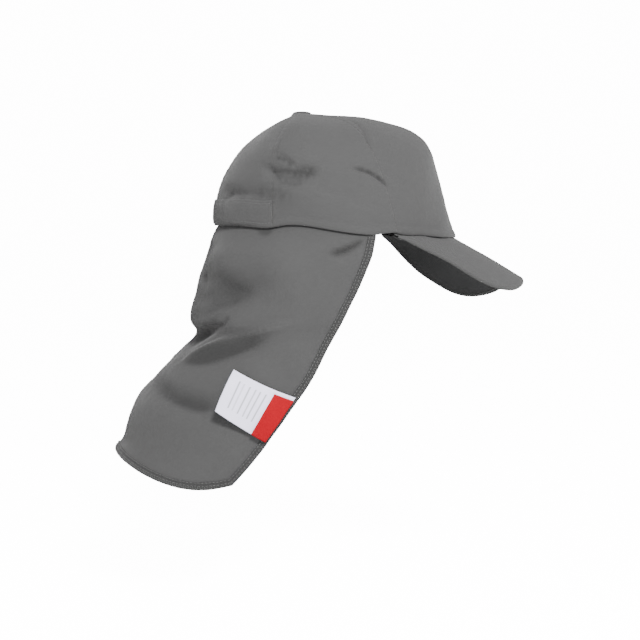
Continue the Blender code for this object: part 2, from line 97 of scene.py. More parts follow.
STEP = 1e-4
CLIMBS = np.linspace(0, 1, 400)
GRAIN = 0.0014
EDGE_GAPS = (0.0, 0.0003, 0.0007, 0.0012, 0.0018, 0.0026)
GIRTH_CLIMB = 0.25
GIRTH_TRIES = 60
BUTTON_SIDES = 48
BUTTON_DOME_RINGS = 12
BAND_COLUMNS = 170
BAND_GRAIN = 0.0009
BAND_EDGE_GAPS = (0.0, 0.0002, 0.0005)
PEAK_TRIES = 4000
PEAK_COLUMNS = 240
PEAK_ROWS = 52
FLAP_TRIES = 800
FLAP_COLUMN = 0.0017
FLAP_ROW = 0.0015
TUCK_ROWS = 6
HEM_TRIES = 1500
HEM_GRAIN = 0.0011
RIBBON_GRAIN = 0.0009
WAVES = 14
THREAD_SIDES = 6
THREAD_RINGS = 8
STITCH_POINTS = 5

# Uneven swells of the cloth, and of the painted shade in its folds
Swell = namedtuple("Swell", "height wavelength seed")
CROWN_SWELL = Swell(0.00032, 0.052, 3)
CROWN_CRINKLE = Swell(0.00004, 0.011, 5)
FLAP_SWELL = Swell(0.00045, 0.060, 7)
FLAP_CRINKLE = Swell(0.00006, 0.013, 9)
PEAK_SWELL = Swell(0.00018, 0.045, 13)
BAND_GATHER = Swell(0.00022, 0.011, 21)
HEM_WOBBLE = Swell(0.00010, 0.014, 31)
HEM_SWELL = Swell(0.00010, 0.012, 33)
SHADE_BLOTCHES = Swell(0.22, 0.0060, 17)
SHADE_SPECKS = Swell(0.14, 0.0034, 27)

# Ridges and grooves beside an edge, by their distance from it
Ridge = namedtuple("Ridge", "height place spread")
RIM_ROLL = Ridge(0.0005, 0.0024, 0.0030)
RIM_GROOVE = Ridge(0.00028, 0.0070, 0.0009)
BAND_GROOVE = Ridge(0.0004, 0.0026, 0.0006)

# What is strongest at an edge and dies away over a run from it
Fade = namedtuple("Fade", "height run")
RIM_EDGE = Fade(0.0004, 0.0007)
RIM_CALM = Fade(0.7, 0.006)
RIM_STEP = Fade(0.0013, 0.0035)
# Painted shade: dust and painted shade along the seams, painted shade along the crown's rim and the
# band's edges, and a painted shadow on the flap under the rim
SEAM_SHADE = Fade(0.04, 0.0010)
PANEL_RIM_SHADE = Fade(0.3, 0.0010)
BAND_EDGE_SHADE = Fade(0.04, 0.0008)
UNDER_RIM_SHADE = Fade(1.0, 0.0024)

# Seams, their puckers and the strength of the painted shade

SEAM_VALLEY = 0.0009
SEAM_SWELL = 0.30
SEAM_SWELL_AT = 0.0032
SEAM_TOP_FADE = 0.10
SEAM_LEAST_WIDTH = 0.02
PUCKER_HEIGHT = 0.00016
PUCKER_PITCH = 0.0052
PUCKER_DRIFT = 1.7
PUCKER_DRIFT_RUN = 0.019
PUCKER_REACH = 0.005
PAINTED_SHADE_STRENGTH = 0.42

# Stitches and their thread
Stitch = namedtuple("Stitch", "length pitch radius")
BAND_STITCH = Stitch(0.0021, 0.0029, 0.00026)
PEAK_STITCH = Stitch(0.0027, 0.0032, 0.00034)
HEM_STITCH = Stitch(0.0021, 0.0030, 0.00027)
OVERLOCK_STITCH = Stitch(0.0010, 0.0019, 0.00024)
STITCH_BOW = 1.9
THREAD_BLUNTNESS = 2.2

# Band, peak and hems

BAND_LEAST_FULLNESS = 0.25
BAND_FULLNESS = 0.55
BAND_FULL_TURN = 0.6
BAND_ROUNDING = 0.0007
BAND_GATHER_ALONG = 0.09
BAND_GATHER_ACROSS = 0.003
BAND_GATHER_TURN = math.radians(48)
BAND_GATHER_FADE = 0.3
# Painted shade on the band's upper part round the back
BAND_SHADE = 0.35
BAND_SHADE_TURN = math.radians(26)
BAND_SHADE_FADE = 0.06
BAND_SHADE_START = 0.30
BAND_SHADE_RISE = 0.10
BAND_CLOTH = 0.7 * BAND_WALL
BAND_STITCH_INSET = 0.0026
BAND_STITCH_SINK = 0.00035
PEAK_CLOTH = 0.0009
PEAK_STITCH_INSET = 0.0022
PEAK_STITCH_STANDS = 0.0001
PEAK_STITCH_MARGIN = 8
LINING_INSET = 0.0003
HEM_CLOTH = 0.0005
HEM_PUFF = 0.0006
HEM_FREE_PUFF = 0.2
HEM_FOLD_INSET = 0.0012
HEM_SHARES = (1.0, 0.97, 0.80, 0.60, 0.40, 0.20)
HEM_FLARE = 0.0036
HEM_FLARE_SPAN = 0.35
HEM_FLARE_START = 0.94
HEM_FLARE_RUN = 0.06
HEM_STITCH_STANDS = 0.0002
HEM_STITCH_ROWS = ((0.86, 1), (0.52, 1), (0.86, -1))
OVERLOCK_LOOP = ((0.55, -1), (0.25, -1), (-0.04, 0), (0.25, 1), (0.55, 1))

# Label, tab and all that is sewn to the flap

LABEL_LIFT = 0.0021
LABEL_CLOTH = 0.0004
LABEL_SEAM = 0.0040
LABEL_PULL = 0.130
LABEL_SHRINK = 0.08
LABEL_CURL_SHARE = 0.35
LABEL_SAG = 0.0010
TAB_STANDS = 0.0012
TAB_CLOTH = 0.0005
TAB_START = 0.0030
PRINT_PITCH = 0.0042
PRINT_RUNS = (0.017, 0.043)
PRINT_DROPS = (0.006, 0.030)
PRINT_START = 0.86
PRINT_RISE = 0.12
PRINT_GREY = (0.30, 0.30, 0.34, 1)

# Stage

Lamp = namedtuple("Lamp", "name place size power")
LAMPS = (
    Lamp("Key", (0.35, -1.7, 1.25), 0.45, 98),
    Lamp("Fill", (-1.3, -1.9, 0.2), 2.0, 13),
    Lamp("Back", (0.2, 1.8, 1.6), 1.8, 10),
)
WORLD_STRENGTH = 0.60
STAGE_GLOW = 14.0
STAGE_FLOOR = -0.30
STAGE_SIZE = 80
PAPER_WHITE = (0.92, 0.92, 0.92, 1)
WHITE = (1, 1, 1, 1)
CAMERA_AIM = (-0.012, 0.0, -0.074)
CAMERA_EYE = (-0.1227, -1.2652, 0.0)
CAMERA_LENS = 85.2
CAMERA_SENSOR = 36


def table(kind, *rows):
    """Rows of numbers as named tuples of one kind."""
    return tuple(kind(*row) for row in rows)


# The ends of the peak, as shares of its turn, end width and end sag
PeakEnd = namedtuple("PeakEnd", "turn width sag")
RIGHT_END = PeakEnd(1.012, 1.00, 1.10)
LEFT_END = PeakEnd(0.925, 0.22, 0.25)

# Shares of the crown's height, half length, half width and button set-back, from the rim up
CrownSection = namedtuple("CrownSection", "rise front back side shift")
CROWN_SECTIONS = table(
    CrownSection,
    (0.000, 1.000, 0.985, 1.000, 0.00),
    (0.140, 0.955, 0.982, 0.998, 0.05),
    (0.280, 0.912, 0.960, 0.987, 0.16),
    (0.420, 0.874, 0.918, 0.957, 0.32),
    (0.560, 0.842, 0.850, 0.905, 0.52),
    (0.680, 0.810, 0.765, 0.833, 0.73),
    (0.775, 0.752, 0.672, 0.745, 0.88),
    (0.855, 0.640, 0.575, 0.640, 0.97),
    (0.918, 0.480, 0.470, 0.500, 1.00),
    (0.962, 0.280, 0.380, 0.340, 1.00),
    (0.986, 0.050, 0.354, 0.200, 1.00),
    (0.997, -0.165, 0.343, 0.100, 1.00),
    (1.000, -0.268, 0.268, 0.000, 1.00),
)

# Height of the rim behind the peak, as shares of the crown's height, by turn in degrees
RimRow = namedtuple("RimRow", "turn rise")
RIM_ROWS = table(
    RimRow,
    (65, -0.006),
    (71, -0.014),
    (76, -0.026),
    (84, -0.018),
    (95, 0.010),
    (108, 0.047),
    (117, 0.052),
    (127, 0.029),
    (138, 0.041),
    (150, 0.050),
    (180, 0.053),
)

# Creases of the crown: turns in degrees, rises as shares of the crown's height, then shares of
# the fold width and fold depth, where a positive depth stands proud. A lip sharpens one side
CrownFold = namedtuple("CrownFold", "turns rises width depth lip")
CROWN_FOLDS = table(
    CrownFold,
    ((131, 118, 96), (0.55, 0.39, 0.54), 0.90, -1.00, 0.5),
    ((127, 112, 98), (0.66, 0.60, 0.63), 1.40, 0.60, 0.0),
    ((76, 64, 55), (0.56, 0.54, 0.40), 0.70, -0.25, 0.4),
    ((165, 145, 124), (0.31, 0.33, 0.30), 1.10, -0.80, 0.0),
    ((112, 90, 66), (0.44, 0.36, 0.27), 1.80, -0.35, 0.0),
    ((-165, -146, -126), (0.31, 0.34, 0.30), 1.10, -0.70, 0.0),
    ((-118, -100, -84), (0.52, 0.45, 0.50), 1.40, -0.55, 0.0),
    ((-75, -64, -56), (0.58, 0.50, 0.38), 1.00, -0.45, 0.3),
)

# Finer creases, which the frame leaves out
CROWN_CREASES = table(
    CrownFold,
    ((126, 114, 96), (0.50, 0.34, 0.50), 0.55, -0.55, 0.4),
    ((120, 116, 108), (0.61, 0.62, 0.50), 0.34, -0.50, 0.0),
    ((120, 114, 108), (0.55, 0.50, 0.51), 0.40, 0.22, 0.0),
    ((119, 122, 121), (0.74, 0.66, 0.59), 0.22, -0.22, 0.0),
    ((79, 71, 64), (0.515, 0.52, 0.365), 0.32, -0.85, 0.5),
    ((101, 86, 70), (0.36, 0.29, 0.17), 0.60, -0.20, 0.0),
    ((160, 148, 126), (0.28, 0.34, 0.28), 0.40, -0.30, 0.0),
    ((58, 63, 66), (0.925, 0.84, 0.66), 0.28, -0.32, 0.0),
    ((-120, -104, -92), (0.60, 0.52, 0.56), 0.36, -0.40, 0.0),
    ((-72, -66, -60), (0.40, 0.46, 0.40), 0.32, -0.34, 0.4),
    ((-150, -140, -128), (0.24, 0.28, 0.22), 0.40, -0.30, 0.0),
)

# Where shade is painted into the crown's folds. The depth is the share of the painted shade
CROWN_PAINTED_SHADES = table(
    CrownFold,
    ((126, 116, 106), (0.49, 0.36, 0.40), 0.38, 0.55, 0.3),
    ((112, 105, 98), (0.45, 0.46, 0.51), 0.56, 0.75, 0.3),
    ((58, 63, 66), (0.925, 0.84, 0.68), 0.22, 0.35, 0.0),
    ((121, 117, 110), (0.60, 0.60, 0.52), 0.32, 0.75, 0.0),
    ((119, 110, 101), (0.50, 0.46, 0.49), 0.80, 0.35, 0.0),
    ((119, 122, 121), (0.74, 0.66, 0.59), 0.20, 0.30, 0.0),
    ((77, 70, 64), (0.505, 0.50, 0.365), 0.34, 0.75, -0.2),
    ((136, 126, 114), (0.29, 0.33, 0.28), 0.95, 0.42, 0.0),
    ((160, 151, 140), (0.29, 0.34, 0.31), 0.70, 0.42, 0.0),
    ((-120, -104, -92), (0.60, 0.52, 0.56), 0.30, 0.60, 0.0),
)

# Level lines of the flap from the rim to the hem. Front and back drops are shares of the flap's
# drop, runs are shares of the front run and of the swing, and side is a share of the half width
FlapSection = namedtuple("FlapSection", "fall front_drop back_drop front_run back_run side")
FLAP_SECTIONS = table(
    FlapSection,
    (0.00, 0.012, -0.024, 0.000, 0.000, 0.975),
    (0.10, 0.080, 0.064, 0.024, 0.080, 0.990),
    (0.20, 0.156, 0.152, 0.074, 0.160, 1.000),
    (0.30, 0.236, 0.237, 0.132, 0.229, 1.000),
    (0.40, 0.310, 0.313, 0.197, 0.270, 0.985),
    (0.46, 0.360, 0.372, 0.241, 0.262, 0.970),
    (0.50, 0.400, 0.410, 0.278, 0.210, 0.955),
    (0.56, 0.464, 0.462, 0.338, 0.308, 0.955),
    (0.64, 0.540, 0.538, 0.406, 0.492, 0.960),
    (0.72, 0.624, 0.607, 0.492, 0.652, 0.965),
    (0.80, 0.708, 0.676, 0.596, 0.785, 0.965),
    (0.88, 0.804, 0.750, 0.717, 0.872, 0.955),
    (0.94, 0.882, 0.822, 0.812, 0.926, 0.940),
    (1.00, 1.000, 0.905, 1.000, 0.985, 0.915),
)

# Folds of the flap seen from the side: reaches are shares of the crown's half length behind the
# origin, drops are shares of the flap's drop, then shares of the fold width and fold depth
FlapFold = namedtuple("FlapFold", "side reaches drops width depth lip")
RIGHT, LEFT, BOTH = -1, 1, 0
FLAP_FOLDS = table(
    FlapFold,
    (RIGHT, (1.01, 0.76, 0.36), (0.08, 0.10, 0.13), 1.90, 0.55, 0.0),
    (BOTH, (1.15, 0.90, 0.60), (0.27, 0.27, 0.21), 1.40, -0.90, 0.0),
    (BOTH, (1.31, 0.98, 0.42), (0.522, 0.455, 0.352), 1.00, 0.82, -0.70),
    (RIGHT, (1.27, 0.98, 0.52), (0.545, 0.52, 0.43), 0.95, -0.70, 0.0),
    (RIGHT, (1.56, 1.28, 0.98), (0.63, 0.68, 0.72), 1.30, -0.55, 0.0),
    (RIGHT, (-0.25, -0.10, 0.05), (0.03, 0.072, 0.092), 0.50, -0.50, 0.0),
    (RIGHT, (1.00, 1.04, 1.09), (0.03, 0.12, 0.23), 0.45, -0.35, 0.0),
    (LEFT, (1.25, 0.90, 0.35), (0.60, 0.55, 0.45), 1.30, -0.60, 0.0),
    (LEFT, (1.50, 1.15, 0.75), (0.78, 0.76, 0.68), 1.60, 0.50, 0.0),
)

# Finer creases of the flap, which the frame leaves out
FLAP_CREASES = table(
    FlapFold,
    (RIGHT, (0.108, -0.025, -0.157), (0.091, 0.088, 0.033), 0.40, -0.66, 0.5),
    (RIGHT, (1.297, 1.093, 0.888), (0.536, 0.467, 0.413), 0.45, 0.34, -0.70),
    (RIGHT, (1.232, 1.120, 0.930), (0.465, 0.430, 0.368), 0.50, -0.70, 0.45),
    (RIGHT, (1.304, 1.125, 0.544), (0.517, 0.545, 0.408), 0.85, -0.66, 0.40),
    (RIGHT, (1.492, 1.304, 0.992), (0.619, 0.710, 0.706), 0.80, -0.60, 0.5),
    (RIGHT, (1.023, 0.835, 0.773), (0.184, 0.227, 0.255), 0.80, -0.62, 0.0),
    (RIGHT, (1.078, 0.925, 0.851), (0.318, 0.294, 0.271), 0.50, -0.36, 0.0),
    (RIGHT, (1.101, 1.039, 0.976), (0.373, 0.369, 0.350), 0.50, 0.30, 0.0),
    (RIGHT, (0.962, 0.928, 0.903), (0.388, 0.372, 0.340), 0.24, -0.34, 0.0),
    (RIGHT, (1.009, 1.083, 1.112), (0.039, 0.098, 0.233), 0.22, -0.50, 0.0),
    (RIGHT, (1.428, 1.311, 1.195), (0.759, 0.641, 0.602), 0.90, 0.24, 0.0),
    (LEFT, (0.90, 0.60, 0.20), (0.22, 0.30, 0.34), 0.70, -0.40, 0.5),
    (LEFT, (1.40, 1.10, 0.80), (0.66, 0.66, 0.60), 0.60, -0.40, 0.5),
)

# Where shade is painted into the flap's folds. The depth is the share of the painted shade, and a
# negative one takes it away again along a crest, as a painted highlight
FLAP_PAINTED_SHADES = table(
    FlapFold,
    (RIGHT, (0.108, -0.025, -0.157), (0.091, 0.088, 0.033), 0.34, 0.80, 0.5),
    (RIGHT, (1.330, 1.190, 1.010), (0.528, 0.425, 0.392), 0.80, 1.00, 0.45),
    (RIGHT, (1.297, 1.093, 0.888), (0.536, 0.467, 0.413), 0.13, -0.90, 0.0),
    (RIGHT, (1.232, 0.959, 0.637), (0.500, 0.455, 0.405), 0.80, 0.70, -0.30),
    (RIGHT, (1.131, 0.996, 0.861), (0.259, 0.243, 0.227), 0.70, 0.60, 0.0),
    (RIGHT, (1.148, 1.068, 0.988), (0.323, 0.340, 0.352), 0.60, 0.70, 0.0),
    (RIGHT, (1.009, 1.083, 1.112), (0.039, 0.098, 0.233), 0.17, 0.90, 0.0),
    (RIGHT, (0.650, 0.604, 0.560), (-0.010, 0.020, -0.010), 0.22, 1.00, 0.0),
    (RIGHT, (1.304, 1.125, 0.544), (0.517, 0.545, 0.408), 0.80, 0.75, 0.80),
    (RIGHT, (1.480, 1.305, 1.050), (0.625, 0.690, 0.700), 1.05, 0.95, 0.70),
    (RIGHT, (1.023, 0.835, 0.773), (0.184, 0.227, 0.255), 0.80, 0.60, 0.0),
    (RIGHT, (1.078, 0.925, 0.851), (0.318, 0.294, 0.271), 0.60, 0.60, 0.0),
    (RIGHT, (1.171, 1.215, 1.179), (0.123, 0.229, 0.367), 0.50, 1.40, 0.0),
    (RIGHT, (0.962, 0.928, 0.903), (0.388, 0.372, 0.340), 0.26, 0.60, 0.0),
    (LEFT, (0.90, 0.60, 0.20), (0.22, 0.30, 0.34), 0.60, 0.50, 0.5),
)


# Sizes and colours that a user would change. Nearly all default sizes are the frame's own


def size(name, description, default):
    """A length that a user can change, in metres."""
    return FloatProperty(name=name, description=description, default=default, unit="LENGTH")


def angle(name, description, degrees):
    """An angle that a user can change."""
    default = math.radians(degrees)
    return FloatProperty(name=name, description=description, default=default, unit="ROTATION")


def dye(name, description, default):
    """A colour that a user can change."""
    return FloatVectorProperty(
        name=name, description=description, default=default, size=3, subtype="COLOR"
    )


class CrownSettings(PropertyGroup):
    """Sizes of the crown, its button and its back band."""

    length: size("Length", "Crown from front to back at the rim", 2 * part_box("front_panel")[1].x)
    width: size("Width", "Crown from side to side at the rim", 0.166)
    height: size("Height", "Rim to the top of the crown", 0.0978)
    wall: size("Cloth", "Thickness of the cloth", 0.0010)
    set_back: size(
        "Button set-back", "Button behind the middle of the rim", -(BUTTON_LOW.x + BUTTON_HIGH.x) / 2
    )
    front_seam: angle("Front seam", "Turn of the front seams", 65)
    back_seam: angle("Back seam", "Turn of the back seams", 124)
    fold_depth: size("Fold depth", "Depth of the deepest fold", 0.0032)
    fold_width: size("Fold width", "Width of a common fold", 0.0065)
    seam_depth: size("Seam depth", "Depth of the valley at a seam", 0.00020)
    button_radius: size("Button radius", "Radius of the top button", (BUTTON_HIGH.x - BUTTON_LOW.x) / 2)
    band_height: size("Band height", "Height of the back band", 0.0205)


class PeakSettings(PropertyGroup):
    """Sizes of the peak."""

    length: size("Length", "Rim to tip", 0.0650)
    half_width: size("Half width", "Middle to the widest point", 0.083)
    slope: angle("Slope", "Fall of the peak", 30.8)
    arch: size("Arch", "Drop of the sides", 0.0345)
    twist: size("Twist", "Drop of one side below the other", 0.0064)
    thickness: size("Thickness", "Both cloths and the gap", 0.0032)


class FlapSettings(PropertyGroup):
    """Sizes of the neck flap and its hems."""

    drop: size("Drop", "Rim to the hem", 0.2006)
    front_run: size("Front run", "Backward run of the front edges", 0.1142)
    swing: size("Swing", "Backward swing of the hem", 0.0825)
    half_width: size("Half width", "Middle to a side", 0.083)
    hem_bow: size("Hem bow", "Sag of the hem's middle", 0.0105)
    tuck: size("Tuck", "Cloth that runs up inside the crown", 0.0080)
    wall: size("Cloth", "Thickness of the cloth", 0.0012)
    fold_depth: size("Fold depth", "Depth of the deepest fold", 0.0060)
    fold_width: size("Fold width", "Width of a common fold", 0.0100)
    hem_width: size("Hem width", "Width of the hem", 0.0066)


class LabelSettings(PropertyGroup):
    """Sizes of the label and the tab."""

    length: size("Length", "Root to free end", 0.0500)
    width: size("Width", "Across the label", 0.0380)
    drop: FloatProperty(
        name="Drop", description="Share of the flap's fall above the label", default=0.752
    )
    slant: angle("Slant", "Lean of the label", 17.2)
    curl: size("Curl", "Lift of the free end", 0.0085)
    tab_length: size("Tab length", "Root to the tab's free end", 0.0158)


class ClothSettings(PropertyGroup):
    """Colours of the cloths and threads."""

    cloth: dye("Cloth", "Crown, peak and flap", (0.050, 0.050, 0.050))
    lining: dye("Lining", "Underside of the peak", (0.0128, 0.0128, 0.0132))
    hem: dye("Hem", "Hems of the flap", (0.032, 0.032, 0.032))
    thread: dye("Thread", "Seam and hem thread", (0.085, 0.085, 0.085))
    label: dye("Label", "Care label", (0.82, 0.80, 0.97))
    tab: dye("Tab", "Tab on the label", (0.29, 0.0, 0.006))


def chosen(group):
    """The scene's sizes or colours of one group."""
    return getattr(bpy.context.scene, f"cap_{group}")


# Curves and folds


def matched(first, second):
    """Two parameters as arrays of one shape."""
    return np.broadcast_arrays(np.asarray(first, float), np.asarray(second, float))


def smooth(value):
    """An even rise from 0 to 1 as value goes from 0 to 1."""
    value = np.clip(value, 0.0, 1.0)
    return value * value * (3 - 2 * value)


def unit(vectors):
    """Vectors at length 1."""
    return vectors / (np.linalg.norm(vectors, axis=-1, keepdims=True) + 1e-15)


def ridge(shape, distance):
    """Height of a ridge at distances from an edge."""
    return shape.height * np.exp(-(((distance - shape.place) / shape.spread) ** 2))


def faded(fade, distance):
    """What is left of a fade at distances from an edge."""
    return fade.height * np.exp(-distance / fade.run)


def along(rows, place, column, key=None):
    """A table's column on a smooth curve through its rows, at many places."""
    count = len(rows)
    marks = np.array([getattr(row, key) for row in rows]) if key else np.linspace(0, 1, count)
    values = np.array([getattr(row, column) for row in rows])
    place = np.clip(place, marks[0], marks[-1])
    low = np.clip(np.searchsorted(marks, place, side="right") - 1, 0, count - 2)
    first = np.maximum(np.arange(count) - 1, 0)
    last = np.minimum(np.arange(count) + 1, count - 1)
    slopes = (values[last] - values[first]) / (marks[last] - marks[first])
    span = marks[low + 1] - marks[low]
    share = (place - marks[low]) / span
    square, cube = share**2, share**3
    return (
        values[low] * (2 * cube - 3 * square + 1)
        + slopes[low] * span * (cube - 2 * square + share)
        + values[low + 1] * (3 * square - 2 * cube)
        + slopes[low + 1] * span * (cube - square)
    )


def fold_relief(x, y, line, width, lip):
    """How strongly a fold acts: 1 on its line, less beside it and at its ends.

    A positive lip narrows the fold below a line that runs forward, a negative one above it.
    """
    shares = np.linspace(0, 1, FOLD_PARTS + 1)[:, None]
    first, bend, last = (np.array(point) for point in line)
    route = (1 - shares) ** 2 * first + 2 * shares * (1 - shares) * bend + shares**2 * last
    ways = np.gradient(route, axis=0)
    fades = smooth(np.minimum(shares, 1 - shares)[:, 0] / FOLD_FADE + FOLD_END_STRENGTH)
    best = np.zeros(x.shape)
    for point, way, fade in zip(route, ways, fades):
        offset_x, offset_y = x - point[0], y - point[1]
        above = way[0] * offset_y > way[1] * offset_x
        sharp = np.where(above, 1 + min(lip, 0), 1 - max(lip, 0)) * width
        best = np.maximum(best, fade * np.exp(-(offset_x**2 + offset_y**2) / sharp**2))
    return best


def ripples(first, second, swell):
    """An uneven swell of many crossing waves over a surface's two lengths."""
    chance = np.random.default_rng(swell.seed)
    total = np.zeros(np.broadcast(first, second).shape)
    for _ in range(WAVES):
        heading = chance.uniform(0, math.tau)
        pace = math.tau / swell.wavelength * chance.uniform(0.6, 1.5)
        phase = chance.uniform(0, math.tau)
        total += np.sin(pace * (math.cos(heading) * first + math.sin(heading) * second) + phase)
    return swell.height * (total / math.sqrt(WAVES / 2))


def normals(form, first, second):
    """Unit normals of a form, pointing into the cap where the second parameter climbs."""
    over = form(first + STEP, second) - form(first - STEP, second)
    up = form(first, second + STEP) - form(first, second - STEP)
    return unit(np.cross(over, up))


# Crown form


def signed(turn):
    """Turns between minus half a round and half a round."""
    return np.mod(turn + math.pi, math.tau) - math.pi


def peak_end(y, field):
    """A share for the end of the peak on each point's side of the middle."""
    return np.where(y < 0, getattr(RIGHT_END, field), getattr(LEFT_END, field))


def peak_height(x, y, run):
    """Height of the peak's upper face over its ground plan, run away from the rim."""
    peak, crown = chosen("peak"), chosen("crown")
    slope = math.tan(peak.slope) * (x - crown.length / 2)
    arch = peak.arch * (y / peak.half_width) ** 2
    twist = -peak.twist * (y / peak.half_width) * smooth(run / PEAK_TWIST_RUN)
    turn = np.arctan2(np.abs(y) / crown.width, x / crown.length)
    at_end = smooth((turn - peak_end(y, "turn") * PEAK_TURN) / PEAK_SAG_TURN + 1)
    sag = peak_end(y, "sag") * PEAK_END_SAG * at_end * (1 - smooth(run / PEAK_SAG_RUN))
    return -PEAK_SETS_IN - slope - arch + twist - sag


def rim_height(turn):
    """Height of the crown's lower edge: over the peak in front, on its own wave behind."""
    crown = chosen("crown")
    turn = signed(turn)
    x = (crown.length / 2 - crown.wall) * np.cos(turn)
    y = -(crown.width / 2 - crown.wall) * np.sin(turn)
    on_peak = peak_height(x, y, crown.wall + PEAK_TUCK) + PEAK_PLAY
    behind = crown.height * along(RIM_ROWS, np.degrees(np.abs(turn)), "rise", "turn")
    past = np.abs(turn) - peak_end(y, "turn") * PEAK_TURN - RIM_BLEND_START
    return on_peak + (behind - on_peak) * smooth(past / RIM_BLEND_TURN)


def crown_form(turn, climb):
    """Points of the crown's outer face before folding: climb is 0 at the rim and 1 at the top."""
    crown = chosen("crown")
    turn, climb = matched(turn, climb)
    section = {name: along(CROWN_SECTIONS, climb, name) for name in CrownSection._fields}
    centre = -crown.set_back * section["shift"]
    front = crown.length / 2 * section["front"] - centre
    back = crown.length / 2 * section["back"] + centre
    reach = np.where(np.cos(turn) > 0, front, back)
    foot = rim_height(turn)
    x = centre + reach * np.cos(turn)
    y = -crown.width / 2 * section["side"] * np.sin(turn)
    return np.stack([x, y, foot + (crown.height - foot) * section["rise"]], axis=-1)


def crown_folds(turn, points, rows):
    """Sum of the folds of a table at points of the crown's plain form."""
    crown = chosen("crown")
    around = signed(turn) * crown.width / 2
    total = np.zeros(around.shape)
    for fold in rows:
        places = zip(fold.turns, fold.rises)
        line = [(math.radians(at) * crown.width / 2, rise * crown.height) for at, rise in places]
        width = fold.width * crown.fold_width
        total += fold_relief(around, points[..., 2], line, width, fold.lip) * fold.depth
    return total


def crown_relief(turn, points):
    """How far the crown's folds and creases move points out of the plain form."""
    x, y, z = points[..., 0], points[..., 1], points[..., 2]
    folds = crown_folds(turn, points, CROWN_FOLDS + CROWN_CREASES) * chosen("crown").fold_depth
    return folds + ripples(x, z - y, CROWN_SWELL) + ripples(x + y, z, CROWN_CRINKLE)


def folded_crown(turn, climb):
    """Points of the crown's outer face with its folds."""
    turn, climb = matched(turn, climb)
    points = crown_form(turn, climb)
    return points - crown_relief(turn, points)[..., None] * normals(crown_form, turn, climb)


def crown_point(turn, climb, depth=0.0):
    """Points of the crown, depth inside its outer face."""
    inward = normals(crown_form, turn, climb)
    return folded_crown(turn, climb) + np.asarray(depth)[..., None] * inward


def climb_at(turn, height):
    """How far up the crown a height above its rim lies."""
    turn, height = matched(turn, height)
    rises = along(CROWN_SECTIONS, CLIMBS, "rise")
    return np.interp(height / (chosen("crown").height - rim_height(turn)), rises, CLIMBS)


def top_climb():
    """Where the panels stop, at the rim of the button's hole."""
    widths = crown_form(math.pi / 2, CLIMBS)[:, 1]
    return float(np.interp(BUTTON_HOLE_RADIUS, -widths[::-1], CLIMBS[::-1]))


# Flap form


def flap_turn(across):
    """Turn of a column of the flap: across is 0 at its right front edge and 1 at its left one."""
    return FLAP_TURN + across * (math.tau - 2 * FLAP_TURN)


def flap_form(across, fall):
    """Points of the flap's outer face before folding: fall is 0 at the rim and 1 at the hem."""
    flap, crown = chosen("flap"), chosen("crown")
    across, fall = matched(across, fall)
    turn = flap_turn(across)
    section = {name: along(FLAP_SECTIONS, fall, name, "fall") for name in FlapSection._fields}
    inset = crown.wall + CLEARANCE
    rim_front = (crown.length / 2 - inset) * math.cos(FLAP_TURN)
    rim_back = -(crown.length / 2 * CROWN_SECTIONS[0].back - inset)
    front_x = rim_front - flap.front_run * section["front_run"]
    back_x = rim_back - flap.swing * section["back_run"]
    reach = (front_x - back_x) / (1 + math.cos(FLAP_TURN))
    x = back_x + reach + reach * np.cos(turn)
    side = section["side"] * flap.half_width
    side = side + (crown.width / 2 - inset - side) * smooth(1 - fall / FLAP_OPENS_OUT)
    behind = (front_x - x) / (front_x - back_x)
    front_z = -flap.drop * section["front_drop"]
    back_z = -flap.drop * section["back_drop"]
    bow = 4 * behind * (1 - behind) * flap.hem_bow * fall**3
    rim = FLAP_SECTIONS[0]
    plain_rim = -flap.drop * (rim.front_drop * (1 - behind) + rim.back_drop * behind)
    lift = (rim_height(turn) - plain_rim) * (1 - fall) ** 2
    z = front_z + (back_z - front_z) * behind - bow + lift
    return np.stack([x, -side * np.sin(turn), z], axis=-1)


def flap_folds(points, rows):
    """Sum of the folds of a table at points of the flap's plain form."""
    flap, half_length = chosen("flap"), chosen("crown").length / 2
    x, y, z = points[..., 0], points[..., 1], points[..., 2]
    total = np.zeros(x.shape)
    for fold in rows:
        places = zip(fold.reaches, fold.drops)
        line = [(-reach * half_length, -drop * flap.drop) for reach, drop in places]
        strength = fold_relief(x, z, line, fold.width * flap.fold_width, fold.lip)
        if fold.side != BOTH:
            strength *= smooth(0.5 + fold.side * y / (FLAP_SIDE_REACH * flap.half_width))
        total += strength * fold.depth
    return total


def flap_relief(points):
    """How far the flap's folds and creases move points out of the plain form."""
    x, y, z = points[..., 0], points[..., 1], points[..., 2]
    flap = chosen("flap")
    total = flap_folds(points, FLAP_FOLDS + FLAP_CREASES) * flap.fold_depth
    total += ripples(x + y, z, FLAP_SWELL) + ripples(x - y, z, FLAP_CRINKLE)
    return total * smooth(-z / (FLAP_FOLDS_BEGIN * flap.drop))


def folded_flap(across, fall):
    """Points of the flap's outer face with its folds, its step under the rim and its flared hem."""
    points = flap_form(across, fall)
    behind = smooth((0.5 - np.abs(across - 0.5)) / HEM_FLARE_SPAN)
    flare = HEM_FLARE * behind * smooth((fall - HEM_FLARE_START) / HEM_FLARE_RUN) ** 2
    move = flap_relief(points) + flare - faded(RIM_STEP, fall * chosen("flap").drop)
    return points + move[..., None] * normals(flap_form, across, fall)


def flap_point(across, fall, depth=0.0):
    """Points of the flap, depth inside its outer face."""
    across, fall = matched(across, fall)
    inward = normals(flap_form, across, fall)
    return folded_flap(across, fall) - np.asarray(depth)[..., None] * inward


